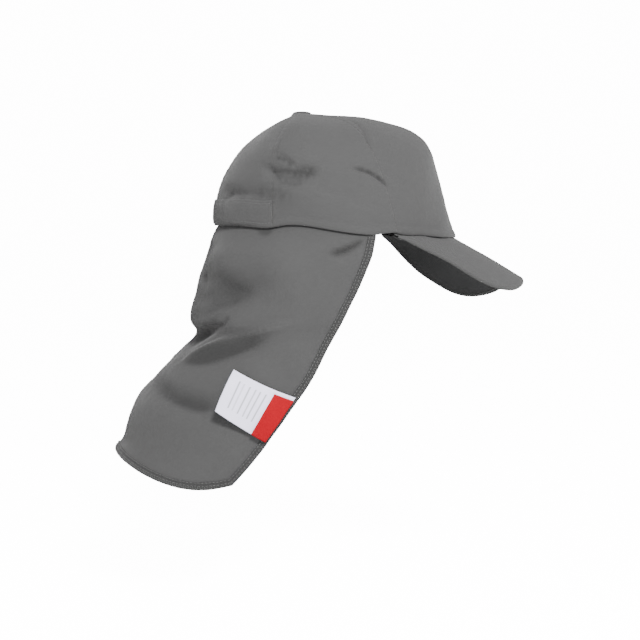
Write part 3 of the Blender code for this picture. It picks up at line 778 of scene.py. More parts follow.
def flap_step(across, fall, move):
    """The flap's own parameters after moves over its face, from points of it."""
    across, fall = matched(across, fall)
    over = (flap_form(across + STEP, fall) - flap_form(across - STEP, fall)) / (2 * STEP)
    lower, upper = np.minimum(fall + STEP, 1.0), np.maximum(fall - STEP, 0.0)
    down = (flap_form(across, lower) - flap_form(across, upper)) / (lower - upper)[..., None]
    a, b, c = (over * over).sum(-1), (over * down).sum(-1), (down * down).sum(-1)
    p, q = (move * over).sum(-1), (move * down).sum(-1)
    scale = a * c - b * b
    return across + (c * p - b * q) / scale, np.clip(fall + (a * q - b * p) / scale, 0.0, 1.0)


# Mesh making


def deselect():
    """Leaves nothing selected, the frame's nodes among them."""
    for piece in bpy.context.selected_objects:
        piece.select_set(False)


def row_lengths(points):
    """Distance run along each row of points."""
    steps = np.linalg.norm(np.diff(points, axis=1), axis=-1)
    return np.concatenate([np.zeros((len(points), 1)), np.cumsum(steps, axis=1)], axis=1)


def run_along(points):
    """Distance run along one row of points."""
    return row_lengths(points[None])[0]


def cloth_lengths(points):
    """Lengths of cloth at each point: across from the middle column, and down from the first row."""
    across = row_lengths(points)
    middle = across[:, across.shape[1] // 2][:, None]
    down = row_lengths(points.swapaxes(0, 1)).mean(axis=0)[:, None]
    return np.stack([across - middle, np.broadcast_to(down, across.shape)], axis=-1)


def finish_piece(piece, finish, node=None):
    """Gives a piece its material and slot, and its place in the frame."""
    piece.data.materials.clear()
    piece.data.materials.append(finish)
    piece.data.shade_smooth()
    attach(piece, "root")
    if node:
        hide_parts(node)


def cloth(name, points, wall, grows, masks=None):
    """A cloth piece: a flat grid moved to rows of points, mapped in metres, then thickened.

    grows is 1 to thicken along the grid's normals, -1 against them. masks are named values
    between 0 and 1 at the points, which the materials read.
    """
    rows, columns = points.shape[:2]
    deselect()
    bpy.ops.mesh.primitive_grid_add(x_subdivisions=columns - 1, y_subdivisions=rows - 1, size=1)
    piece = bpy.context.object
    piece.name = piece.data.name = name
    mesh = piece.data
    flat = np.zeros(len(mesh.vertices) * 3)
    mesh.vertices.foreach_get("co", flat)
    flat = flat.reshape(-1, 3)
    column = np.rint((flat[:, 0] + 0.5) * (columns - 1)).astype(int)
    row = np.rint((flat[:, 1] + 0.5) * (rows - 1)).astype(int)
    mesh.vertices.foreach_set("co", points[row, column].ravel())
    corners = np.zeros(len(mesh.loops), int)
    mesh.loops.foreach_get("vertex_index", corners)
    lengths = cloth_lengths(points)[row, column]
    mesh.uv_layers.active.data.foreach_set("uv", lengths[corners].ravel())
    for mask, values in (masks or {}).items():
        layer = mesh.attributes.new(mask, "FLOAT", "POINT")
        layer.data.foreach_set("value", values[row, column].astype(np.float32))
    mesh.update()
    thick = piece.modifiers.new("Wall", "SOLIDIFY")
    thick.thickness = wall
    thick.offset = grows
    bpy.ops.object.modifier_apply(modifier=thick.name)
    return piece


def threads(name, paths, uprights, radius):
    """Stitches: one rounded thread along each path, all joined in one mesh.

    paths holds rows of points, one row a stitch, and uprights the cloth's normal for each row.
    """
    deselect()
    bpy.ops.mesh.primitive_uv_sphere_add(segments=THREAD_SIDES, ring_count=THREAD_RINGS, radius=1)
    model = bpy.context.object
    ball = np.array([vertex.co for vertex in model.data.vertices])
    faces = [np.array(face.vertices) for face in model.data.polygons]
    place = np.arccos(np.clip(-ball[:, 2], -1, 1)) / math.pi
    girth = np.minimum(1.0, THREAD_BLUNTNESS * np.sin(place * math.pi))
    around = unit(ball[:, :2] + 1e-12)
    bpy.data.objects.remove(model)
    count, steps = paths.shape[:2]
    position = place * (steps - 1)
    low = np.clip(position.astype(int), 0, steps - 2)
    share = (position - low)[None, :, None]
    spine = paths[:, low] * (1 - share) + paths[:, low + 1] * share
    ways = unit(np.gradient(paths, axis=1))
    way = ways[:, low] * (1 - share) + ways[:, low + 1] * share
    aside = unit(np.cross(uprights[:, None, :], way))
    above = np.cross(way, aside)
    rings = aside * around[None, :, :1] + above * around[None, :, 1:]
    points = spine + radius * girth[None, :, None] * rings
    mesh = bpy.data.meshes.new(name)
    offsets = np.arange(count)[:, None] * len(ball)
    all_faces = [list(corner) for face in faces for corner in (face[None, :] + offsets)]
    mesh.from_pydata(points.reshape(-1, 3).tolist(), [], all_faces)
    piece = bpy.data.objects.new(name, mesh)
    bpy.context.scene.collection.objects.link(piece)
    return piece


def stitch_row(route, outward, stitch):
    """Paths of a row of stitches along a route of points on cloth, each bowed up from the cloth."""
    run = run_along(route)
    starts = np.arange(0.5 * stitch.pitch, run[-1] - stitch.length, stitch.pitch)
    shares = np.linspace(0, 1, STITCH_POINTS)
    places = starts[:, None] + stitch.length * shares[None, :]
    spots = np.stack([np.interp(places, run, route[:, axis]) for axis in range(3)], axis=-1)
    up = unit(np.stack([np.interp(starts, run, outward[:, axis]) for axis in range(3)], axis=-1))
    bow = stitch.radius * (STITCH_BOW * np.sin(shares * math.pi) - 1.0)
    return spots + bow[None, :, None] * up[:, None, :], up


def stitch_piece(name, rows, stitch):
    """One mesh of stitches from several rows of them."""
    paths = np.concatenate([row[0] for row in rows])
    uprights = np.concatenate([row[1] for row in rows])
    finish_piece(threads(name, paths, uprights, stitch.radius), cap_thread())


def spaced(length, step, gaps=EDGE_GAPS):
    """Shares of a length: close together near both ends, and even between them."""
    close = np.array(gaps)
    inner = np.linspace(close[-1], length - close[-1], max(3, round(length / step)))
    return np.concatenate([close[:-1], inner, (length - close[:-1])[::-1]]) / length


# Materials


class Graph:
    """A node tree, with short ways to add nodes and join them."""

    def __init__(self, tree):
        self.tree = tree

    def feed(self, sockets, values):
        """Joins a node's sockets to other sockets, or sets their values."""
        for socket, value in values.items():
            if isinstance(value, bpy.types.NodeSocket):
                self.tree.links.new(value, sockets[socket])
            else:
                sockets[socket].default_value = value

    def node(self, kind, inputs=None, **settings):
        """Adds a shader node with its settings, then joins or sets its inputs."""
        made = self.tree.nodes.new(f"ShaderNode{kind}")
        for name, value in settings.items():
            setattr(made, name, value)
        self.feed(made.inputs, inputs or {})
        return made

    def maths(self, operation, first, second=0.0):
        return self.node("Math", {0: first, 1: second}, operation=operation).outputs[0]

    def plus(self, first, second):
        return self.maths("ADD", first, second)

    def times(self, first, second):
        return self.maths("MULTIPLY", first, second)

    def noise(self, place, scale, detail):
        return self.node("TexNoise", {"Vector": place, "Scale": scale, "Detail": detail}).outputs["Fac"]

    def attribute(self, name):
        return self.node("Attribute", attribute_name=name).outputs["Fac"]

    def tinted(self, colour, tone):
        """A colour made lighter or darker by a tone."""
        values = {0: tuple(colour), 3: tone}
        return self.node("VectorMath", values, operation="SCALE").outputs[0]

    def bump(self, strength, distance, height):
        values = {"Strength": strength, "Distance": distance, "Height": height}
        return self.node("Bump", values).outputs["Normal"]

    def lengths(self):
        return self.node("UVMap").outputs["UV"]

    def position(self):
        return self.node("TexCoord").outputs["Object"]

    def group(self, name, **inputs):
        """Places a shared group, which is built on its first use."""
        tree = bpy.data.node_groups.get(name) or GROUPS[name](name)
        return self.node("Group", inputs, node_tree=tree).outputs


def new_group(name, inputs, outputs):
    """An empty shader node group with named sockets: its graph, what it is given and what it puts out."""
    tree = bpy.data.node_groups.new(name, "ShaderNodeTree")
    for way, sockets in (("INPUT", inputs), ("OUTPUT", outputs)):
        for socket, kind in sockets.items():
            tree.interface.new_socket(name=socket, in_out=way, socket_type=f"NodeSocket{kind}")
    given, put = tree.nodes.new("NodeGroupInput"), tree.nodes.new("NodeGroupOutput")
    return Graph(tree), given.outputs, put.inputs


def twill_group(name):
    """Twill: fine slanting ribs crossed by finer threads, a little uneven, on lengths of cloth."""
    sockets = {"Lengths": "Vector", "Pitch": "Float", "Unevenness": "Float"}
    graph, given, put = new_group(name, sockets, {"Height": "Float"})
    wander = graph.noise(given["Lengths"], 420.0, 2.0)
    parts = graph.node("SeparateXYZ", {0: given["Lengths"]}).outputs
    turns = graph.maths("DIVIDE", graph.plus(parts[0], parts[1]), given["Pitch"])
    uneven = graph.times(wander, given["Unevenness"])
    ribs = graph.maths("SINE", graph.times(graph.plus(turns, uneven), math.tau))
    columns = graph.maths("DIVIDE", parts[0], given["Pitch"])
    crossing = graph.maths("SINE", graph.times(columns, 2 * math.tau))
    mixed = graph.plus(graph.times(ribs, 0.34), graph.times(crossing, 0.14))
    graph.feed(put, {"Height": graph.plus(mixed, 0.5)})
    return graph.tree


def tone_group(name):
    """Uneven dye and lint: a tone near 1 that varies from patch to patch and thread to thread."""
    sockets = {"Position": "Vector", "Patches": "Float", "Speckle": "Float"}
    graph, given, put = new_group(name, sockets, {"Tone": "Float", "Fuzz": "Float"})
    broad = graph.noise(given["Position"], 26.0, 3.0)
    fine = graph.noise(given["Position"], 900.0, 2.0)
    patches = graph.times(graph.maths("SUBTRACT", broad, 0.5), given["Patches"])
    speckle = graph.times(graph.maths("SUBTRACT", fine, 0.5), given["Speckle"])
    graph.feed(put, {"Tone": graph.plus(graph.plus(patches, speckle), 1.0), "Fuzz": fine})
    return graph.tree


GROUPS = {"Twill Weave": twill_group, "Cloth Tone": tone_group}


def new_material(name, roughness, sheen=0.0, specular=0.3):
    """A named material with a plain shader, its graph and the shader's sockets."""
    finish = bpy.data.materials.new(name)
    finish.use_nodes = True
    graph = Graph(finish.node_tree)
    shader = finish.node_tree.nodes["Principled BSDF"].inputs
    graph.feed(shader, {"Roughness": roughness, "Specular IOR Level": specular, "Sheen Weight": sheen})
    return finish, graph, shader


def woven_material(name, colour, pitch, depth, roughness, gather_shade=0.0, patches=0.10, speckle=0.10):
    """Twill cloth of one dye: weave, uneven tone and fuzz, and painted shade that darkens it at seams and
    in folds.
    """
    finish, graph, shader = new_material(name, roughness, sheen=0.12, specular=0.18)
    weave = graph.group("Twill Weave", Lengths=graph.lengths(), Pitch=pitch, Unevenness=0.9)
    tone = graph.group("Cloth Tone", Position=graph.position(), Patches=patches, Speckle=speckle)
    ribs = graph.times(graph.maths("SUBTRACT", weave["Height"], 0.5), 0.10)
    shade = graph.plus(tone["Tone"], ribs)
    # Painted shade: the shade attribute darkens the base colour
    if gather_shade:
        gathered = graph.times(graph.attribute("shade"), gather_shade)
        shade = graph.maths("SUBTRACT", shade, gathered)
    values = {
        "Base Color": graph.tinted(colour, shade),
        "Roughness": graph.plus(graph.times(tone["Fuzz"], 0.12), roughness - 0.06),
        "Normal": graph.bump(0.55, depth, graph.plus(weave["Height"], graph.times(tone["Fuzz"], 0.5))),
    }
    graph.feed(shader, values)
    return finish


def thread_material(name, colour):
    """Spun thread: fine slanting plies and a little fuzz."""
    finish, graph, shader = new_material(name, 0.75, sheen=0.1, specular=0.25)
    position = graph.position()
    tone = graph.group("Cloth Tone", Position=position, Patches=0.1, Speckle=0.5)
    values = {"Vector": position, "Scale": 1400.0, "Distortion": 1.5, "Detail": 1.0}
    plies = graph.node("TexWave", values, bands_direction="DIAGONAL").outputs["Fac"]
    tinted = graph.tinted(colour, tone["Tone"])
    graph.feed(shader, {"Base Color": tinted, "Normal": graph.bump(0.5, 0.0001, plies)})
    return finish


def ribbon_material(name, colour, printed):
    """Smooth woven ribbon, with plain thin print lines where it is printed."""
    finish, graph, shader = new_material(name, 0.7, specular=0.12)
    weave = graph.group("Twill Weave", Lengths=graph.lengths(), Pitch=0.0005, Unevenness=0.2)
    tone = graph.group("Cloth Tone", Position=graph.position(), Patches=0.05, Speckle=0.06)
    shown = graph.tinted(colour, tone["Tone"])
    if printed:
        values = {0: graph.attribute("print"), 6: shown, 7: PRINT_GREY}
        shown = graph.node("Mix", values, data_type="RGBA").outputs[2]
    graph.feed(shader, {"Base Color": shown, "Normal": graph.bump(0.35, 0.00008, weave["Height"])})
    return finish


def finish_named(name, make, *values, **more):
    """A material by its name, made on its first use."""
    return bpy.data.materials.get(name) or make(name, *values, **more)


def cap_cloth():
    """The twill of the crown, peak, band and flap."""
    colour = chosen("cloth").cloth
    return finish_named(
        "Cap Twill", woven_material, colour, 0.00075, 0.00016, 0.88, gather_shade=PAINTED_SHADE_STRENGTH
    )


def cap_thread():
    """The thread of every seam and hem."""
    return finish_named("Cap Thread", thread_material, chosen("cloth").thread)


# Pieces


def seam_profile(distance, depth):
    """How far cloth sinks at a seam, and how far it swells beside it."""
    valley = -depth * np.exp(-distance / SEAM_VALLEY)
    out = distance / SEAM_SWELL_AT
    return valley + SEAM_SWELL * depth * out * np.exp(1 - out)


def panel_grid(first, last, top):
    """Turns and climbs of a panel's grid, close together at its seams and its rim."""
    girth = run_along(crown_form(np.linspace(first, last, GIRTH_TRIES), GIRTH_CLIMB))
    shares = spaced(girth[-1], GRAIN)
    heights = run_along(crown_form((first + last) / 2, CLIMBS * top))
    climbs = np.interp(spaced(heights[-1], GRAIN) * heights[-1], heights, CLIMBS * top)
    return first + (last - first) * shares, climbs


def panel_points(turns, climbs, top):
    """A panel's points, with its seam valleys, puckers and rolled rim, and its painted shade."""
    turn, climb = np.meshgrid(turns, climbs)
    plain = folded_crown(turn, climb)
    lengths = row_lengths(plain)
    width = lengths[:, -1:]
    distance = np.minimum(lengths, width - lengths)
    heights = row_lengths(plain.swapaxes(0, 1)).swapaxes(0, 1)
    fade = smooth((top - climb) / SEAM_TOP_FADE) * smooth(width / SEAM_LEAST_WIDTH)
    relief = seam_profile(distance, chosen("crown").seam_depth * fade * (1 - faded(RIM_CALM, heights)))
    drift = PUCKER_DRIFT * np.sin(heights / PUCKER_DRIFT_RUN)
    pucker = np.sin(heights / PUCKER_PITCH * math.tau + drift)
    relief += PUCKER_HEIGHT * fade * pucker * np.exp(-distance / PUCKER_REACH)
    relief += ridge(RIM_ROLL, heights) - faded(RIM_EDGE, heights) - ridge(RIM_GROOVE, heights)
    points = plain - relief[..., None] * normals(crown_form, turn, climb)
    x, z = plain[..., 0], plain[..., 2]
    # Painted shade: darker in the crown's folds, in blotches and specks, with dust and painted shade at
    # the seams and painted shade along the rim
    rough = 1 + ripples(x, z, SHADE_BLOTCHES) + ripples(x, z, SHADE_SPECKS)
    folds = crown_folds(turn, plain, CROWN_PAINTED_SHADES) * rough
    shade = faded(SEAM_SHADE, distance) * fade + faded(PANEL_RIM_SHADE, heights)
    return points, np.clip(shade + folds, 0, 1)


def build_panel(node, first, last):
    """One panel of the crown, between the turns of its seams."""
    top = top_climb()
    points, shade = panel_points(*panel_grid(first, last, top), top)
    piece = cloth(f"{node}_cloth", points, chosen("crown").wall, 1, {"shade": shade})
    finish_piece(piece, cap_cloth(), node)


class CAP_OT_crown(Operator):
    """Build the five panels of the crown"""

    bl_idname = "cap.crown"
    bl_label = "Crown"

    def execute(self, context):
        front, back = context.scene.cap_crown.front_seam, context.scene.cap_crown.back_seam
        build_panel("front_panel", -front, front)
        build_panel("right_side_panel", front, back)
        build_panel("left_side_panel", -back, -front)
        build_panel("right_back_panel", back, math.pi)
        build_panel("left_back_panel", math.pi, math.tau - back)
        return {"FINISHED"}


def turned(name, profile, centre):
    """A turned piece: a ball whose rings go to a profile of radius and height, top to bottom."""
    deselect()
    rings = len(profile) - 1
    bpy.ops.mesh.primitive_uv_sphere_add(segments=BUTTON_SIDES, ring_count=rings, radius=1)
    piece = bpy.context.object
    piece.name = piece.data.name = name
    ball = np.array([vertex.co for vertex in piece.data.vertices])
    ring = np.rint(np.arccos(np.clip(ball[:, 2], -1, 1)) / math.pi * rings).astype(int)
    radii, heights = np.array(profile).T
    flat = unit(ball[:, :2] + 1e-12) * radii[ring][:, None] + centre
    piece.data.vertices.foreach_set("co", np.column_stack([flat, heights[ring]]).ravel())
    piece.data.update()
    return piece


class CAP_OT_button(Operator):
    """Build the covered button over the meeting of the seams"""

    bl_idname = "cap.button"
    bl_label = "Top Button"

    def execute(self, context):
        crown = context.scene.cap_crown
        radius, top = crown.button_radius, BUTTON_HIGH.z
        foot = top - BUTTON_HEIGHT
        profile = [(0.0, top)]
        for step in range(1, BUTTON_DOME_RINGS + 1):
            lean = math.radians(90) * step / BUTTON_DOME_RINGS
            profile.append((radius * math.sin(lean), top - BUTTON_HEIGHT * (1 - math.cos(lean)) ** 1.2))
        profile += [
            (0.96 * radius, foot - 0.0007),
            (0.86 * radius, foot - 0.0009),
            (BUTTON_STEM_RADIUS + 0.0004, foot - 0.0005),
            (BUTTON_STEM_RADIUS, foot - BUTTON_STEM_LENGTH),
            (0.0, foot - BUTTON_STEM_LENGTH),
        ]
        piece = turned("top_button_cover", profile, (-crown.set_back, 0.0))
        finish_piece(piece, cap_cloth(), "top_button")
        return {"FINISHED"}


def band_face(turn, height, depth):
    """Points outside the back panels, at a height above the rim, depth outside them."""
    return crown_point(turn, climb_at(turn, height), -depth)


def band_fullness(turn):
    """How full the band is along its length: flat at its two ends, where the seams hold it."""
    from_end = math.pi - chosen("crown").back_seam - np.abs(turn - math.pi)
    return BAND_LEAST_FULLNESS + BAND_FULLNESS * smooth(from_end / BAND_FULL_TURN)


class CAP_OT_band(Operator):
    """Build the band outside the back panels, with its rows of stitches"""

    bl_idname = "cap.band"
    bl_label = "Back Band"

    def execute(self, context):
        crown = context.scene.cap_crown
        ends = np.linspace(crown.back_seam, math.tau - crown.back_seam, BAND_COLUMNS)
        turn, share = np.meshgrid(ends, spaced(crown.band_height, BAND_GRAIN, BAND_EDGE_GAPS))
        from_edge = np.minimum(share, 1 - share) * crown.band_height
        from_middle = np.abs(turn - math.pi)
        puff = BAND_WALL * band_fullness(turn) * (1 - np.exp(-from_edge / BAND_ROUNDING))
        gather = ripples(turn * BAND_GATHER_ALONG, share * BAND_GATHER_ACROSS, BAND_GATHER)
        puff += gather * smooth((BAND_GATHER_TURN - from_middle) / BAND_GATHER_FADE)
        puff -= ridge(BAND_GROOVE, from_edge)
        points = band_face(turn, BAND_FOOT + share * crown.band_height, BAND_PLAY + puff)
        # Painted shade: darker along the band's edges, and a patch of painted shade on its upper part
        # round the back
        behind = smooth((BAND_SHADE_TURN - from_middle) / BAND_SHADE_FADE)
        box = BAND_SHADE * behind * smooth((share - BAND_SHADE_START) / BAND_SHADE_RISE)
        masks = {"shade": faded(BAND_EDGE_SHADE, from_edge) + box}
        piece = cloth("back_band_cloth", points, BAND_CLOTH, 1, masks)
        finish_piece(piece, cap_cloth(), "back_band")
        rows = []
        depth = BAND_PLAY + BAND_WALL * band_fullness(ends) - BAND_STITCH_SINK
        for height in (BAND_STITCH_INSET, crown.band_height - BAND_STITCH_INSET):
            route = band_face(ends, BAND_FOOT + height, depth)
            outward = -normals(crown_form, ends, climb_at(ends, BAND_FOOT + height))
            rows.append(stitch_row(route, outward, BAND_STITCH))
        stitch_piece("band_stitches", rows, BAND_STITCH)
        return {"FINISHED"}


def peak_plan(swing, reach):
    """Ground plan of the peak and the run from its rim: swing is -1 at its left end, 1 at its right."""
    peak, crown = chosen("peak"), chosen("crown")
    swing, reach = matched(swing, reach)
    half_length, half_width = crown.length / 2, crown.width / 2
    end_turn = peak_end(-swing, "turn") * PEAK_TURN
    turn = -swing * end_turn
    inset = crown.wall + PEAK_TUCK
    rim = np.stack([(half_length - inset) * np.cos(turn), (half_width - inset) * np.sin(turn)], axis=-1)
    end_width = peak_end(-swing, "width") * PEAK_END_WIDTH
    corner_x = (half_length + end_width) * np.cos(end_turn)
    corner_y = (half_width + end_width) * np.sin(end_turn)
    length = peak.length * math.cos(peak.slope)
    sweep = math.pi / 2 * np.minimum(np.abs(swing) / PEAK_SHOULDER, 1)
    power = 2 / PEAK_SQUARENESS
    round_x = half_length + length * np.clip(np.cos(sweep), 0, 1) ** power
    round_y = peak.half_width * np.sin(sweep) ** power
    back = np.clip((np.abs(swing) - PEAK_SHOULDER) / (1 - PEAK_SHOULDER), 0, 1)
    side_x = half_length + (corner_x - half_length) * back
    side_y = peak.half_width + (corner_y - peak.half_width) * back**2
    in_front = np.abs(swing) < PEAK_SHOULDER
    x = np.where(in_front, round_x, side_x)
    y = np.copysign(np.where(in_front, round_y, side_y), turn)
    run = np.stack([x, y], axis=-1) - rim
    return rim + run * reach[..., None], np.linalg.norm(run, axis=-1) * reach


def peak_surface(swing, reach):
    """Points of the peak's upper face: reach is 0 at its rim and 1 at its edge."""
    plan, run = peak_plan(swing, reach)
    height = peak_height(plan[..., 0], plan[..., 1], run)
    return np.concatenate([plan, height[..., None]], axis=-1)


def even_swings(count):
    """Swings that part the peak's edge evenly."""
    tries = np.linspace(-1, 1, PEAK_TRIES)
    run = run_along(peak_surface(tries, 1.0))
    return np.interp(np.linspace(0, run[-1], count), run, tries)


def peak_axes(swing, reach):
    """Points of the peak with the ways out from the rim and up from the cloth."""
    over = peak_surface(swing + STEP, reach) - peak_surface(swing - STEP, reach)
    out = unit(peak_surface(swing, reach + STEP) - peak_surface(swing, reach - STEP))
    up = unit(np.cross(over, out))
    up *= np.sign(up[..., 2:])
    return peak_surface(swing, reach), out, up


class CAP_OT_peak(Operator):
    """Build the peak: upper cloth wrapped round its edge, under cloth and edge stitches"""

    bl_idname = "cap.peak"
    bl_label = "Peak"

    def execute(self, context):
        peak = context.scene.cap_peak
        half, sunk = peak.thickness / 2, peak.thickness / 2 - LINING_INSET
        swings = even_swings(PEAK_COLUMNS)
        length = np.linalg.norm(peak_surface(swings, 1.0) - peak_surface(swings, 0.0), axis=-1)
        stop = 1 - half / np.maximum(length, 2 * half)
        reaches = np.linspace(0, 1, PEAK_ROWS)[:, None]
        spot, _, up = peak_axes(swings[None, :], reaches * stop[None, :])
        edge, edge_out, edge_up = peak_axes(swings, stop)
        rows = list(spot)
        for lean in np.radians(np.arange(15, 121, 15)):
            rows.append(edge + half * (math.sin(lean) * edge_out - (1 - math.cos(lean)) * edge_up))
        points = np.array(rows)
        points[..., 2] += ripples(points[..., 0], points[..., 1], PEAK_SWELL)
        piece = cloth("peak_top_cloth", points, PEAK_CLOTH, -1)
        finish_piece(piece, cap_cloth(), "peak_top")

        rows = list(spot - (peak.thickness - LINING_INSET) * up)
        for lean in np.radians(np.arange(165, 109, -15)):
            round_edge = math.sin(lean) * edge_out + math.cos(lean) * edge_up
            rows.append(edge - half * edge_up + sunk * round_edge)
        colour = context.scene.cap_cloth.lining
        lining = finish_named("Peak Lining", woven_material, colour, 0.0007, 0.00012, 0.85)
        piece = cloth("peak_under_cloth", np.array(rows), PEAK_CLOTH, 1)
        finish_piece(piece, lining, "peak_under")

        inner, _, inner_up = peak_axes(swings, stop - PEAK_STITCH_INSET / np.maximum(length, 0.02))
        route = inner - (peak.thickness - LINING_INSET + PEAK_STITCH_STANDS) * inner_up
        kept = slice(PEAK_STITCH_MARGIN, -PEAK_STITCH_MARGIN)
        rows = [stitch_row(route[kept], -inner_up[kept], PEAK_STITCH)]
        stitch_piece("peak_edge_stitches", rows, PEAK_STITCH)
        return {"FINISHED"}


def tuck_points(columns, heights):
    """The flap's upper margin, inside the crown."""
    turn, height = np.meshgrid(flap_turn(columns), heights)
    depth = chosen("crown").wall + CLEARANCE + RIM_STEP.height
    return crown_point(turn, climb_at(turn, height), depth)


def cut_size(points):
    """Width, length and area of the flat cloth that a grid of points was cut from."""
    over = np.diff(points, axis=1)[:-1]
    down = np.diff(points, axis=0)[:, :-1]
    area = float(np.linalg.norm(np.cross(over, down), axis=-1).sum())
    width = float(row_lengths(points)[:, -1].max())
    length = float(row_lengths(points.swapaxes(0, 1))[:, -1].max())
    return (width, length), min(area, width * length)


def flap_points():
    """Points of the flap from the top of its tuck to its hem, with its painted shade."""
    flap = chosen("flap")
    tries = np.linspace(0, 1, FLAP_TRIES)
    girth = run_along(flap_form(tries, 0.5))
    columns = np.interp(spaced(girth[-1], FLAP_COLUMN) * girth[-1], girth, tries)
    drop = run_along(flap_form(0.5, tries))
    falls = np.interp(np.linspace(0, drop[-1], round(drop[-1] / FLAP_ROW)), drop, tries)
    across, fall = np.meshgrid(columns, falls)
    tuck = tuck_points(columns, np.linspace(flap.tuck, 0.0006, TUCK_ROWS))
    # Painted shade: darker in the flap's folds, a painted shadow just under the crown's rim, and full
    # painted shade on the tuck inside the crown
    painted_rim_shadow = faded(UNDER_RIM_SHADE, fall * flap.drop)
    shade = np.clip(flap_folds(flap_form(across, fall), FLAP_PAINTED_SHADES) + painted_rim_shadow, 0, 1)
    points = np.concatenate([tuck, folded_flap(across, fall)])
    return points, np.concatenate([np.ones(tuck.shape[:2]), shade])


class CAP_OT_flap(Operator):
    """Build the neck flap"""

    bl_idname = "cap.flap"
    bl_label = "Neck Flap"

    def execute(self, context):
        points, shade = flap_points()
        piece = cloth("neck_flap_cloth", points, context.scene.cap_flap.wall, -1, {"shade": shade})
        finish_piece(piece, cap_cloth(), "neck_flap")
        return {"FINISHED"}


def hem_route(kind):
    """Parameters along one edge of the flap, with the way in from that edge."""
    tries = np.linspace(0, 1, HEM_TRIES)
    routes = {
        "right": (np.zeros(HEM_TRIES), tries),
        "bottom": (tries, np.ones(HEM_TRIES)),
        "left": (np.ones(HEM_TRIES), tries[::-1]),
    }
    run = run_along(flap_form(*routes[kind]))
    places = np.linspace(0, run[-1], round(run[-1] / HEM_GRAIN))
    return [np.interp(places, run, values) for values in routes[kind]]


def hem_axes(across, fall):
    """Points along a hem with the ways along it, in from it over the cloth, and out of the cloth."""
    way = unit(np.gradient(flap_form(across, fall), axis=0))
    outward = normals(flap_form, across, fall)
    return folded_flap(across, fall), way, unit(np.cross(way, outward)), outward


def build_hem(kind):
    """One hem: cloth folded round an edge of the flap. Gives its route and how far it stands out."""
    flap = chosen("flap")
    across, fall = hem_route(kind)
    spot, _, aside, outward = hem_axes(across, fall)
    run = run_along(spot)
    wobble = ripples(run, np.zeros(len(run)), HEM_WOBBLE)
    outside = HEM_PUFF + ripples(run, np.ones(len(run)), HEM_SWELL)

    def face_row(share, depth, side):
        """A row of the hem on one face of the flap: side is -1 outside and 1 inside."""
        inset = flap.hem_width * share + wobble * share
        puff = outside * (HEM_FREE_PUFF if share == 1 else 1)
        return flap_point(*flap_step(across, fall, aside * inset[:, None]), depth + side * puff)

    rows = [face_row(share, 0, -1) for share in HEM_SHARES]
    half = flap.wall / 2
    centre = spot - outward * half + aside * HEM_FOLD_INSET
    for lean in np.radians(np.arange(90, 271, 22.5)):
        round_edge = math.cos(lean) * aside + math.sin(lean) * outward
        rows.append(centre + (half + outside)[:, None] * round_edge)
    rows += [face_row(share, flap.wall, 1) for share in HEM_SHARES[::-1]]
    colour = chosen("cloth").hem
    weave = (0.0009, 0.00022, 0.92)
    finish = finish_named("Hem Twill", woven_material, colour, *weave, patches=0.25, speckle=0.35)
    piece = cloth(f"{kind}_hem_cloth", np.array(rows), HEM_CLOTH, -1)
    finish_piece(piece, finish, f"{kind}_hem")
    return across, fall, outside


def hem_stitches(across, fall, outside):
    """Two rows of stitches on the outer face, one on the inner, and overlock loops round the edge."""
    flap = chosen("flap")
    spot, way, aside, outward = hem_axes(across, fall)
    stands = outside + HEM_STITCH_STANDS
    rows = []
    for share, face in HEM_STITCH_ROWS:
        place = flap_step(across, fall, aside * flap.hem_width * share)
        depth = -stands if face == 1 else flap.wall + stands
        rows.append(stitch_row(flap_point(*place, depth), face * outward, HEM_STITCH))
    run, marks = run_along(spot), np.arange(len(spot))
    slant = OVERLOCK_STITCH.length
    starts = np.arange(slant, run[-1] - 2 * slant, OVERLOCK_STITCH.pitch)
    loops = []
    for share, side in OVERLOCK_LOOP:
        at = np.interp(starts + slant * share, run, marks)
        low = np.clip(at.astype(int), 0, len(run) - 2)
        here = [line[low] + (line[low + 1] - line[low]) * (at - low) for line in (across, fall)]
        place = flap_step(*here, aside[low] * flap.hem_width * share)
        thick = np.interp(at, marks, outside) + HEM_STITCH_STANDS
        loops.append(flap_point(*place, flap.wall / 2 + side * (flap.wall / 2 + thick)))
    low = np.clip(np.interp(starts, run, marks).astype(int), 0, len(run) - 2)
    return rows, (np.stack(loops, axis=1), way[low])


class CAP_OT_hems(Operator):
    """Build the flap's hems, their stitches and the overlock on their edges"""

    bl_idname = "cap.hems"
    bl_label = "Hems"

    def execute(self, context):
        rows, loops = [], []
        for kind in ("right", "bottom", "left"):
            stitched, looped = hem_stitches(*build_hem(kind))
            rows += stitched
            loops.append(looped)
        stitch_piece("hem_stitches", rows, HEM_STITCH)
        stitch_piece("hem_overlock", loops, OVERLOCK_STITCH)
        return {"FINISHED"}


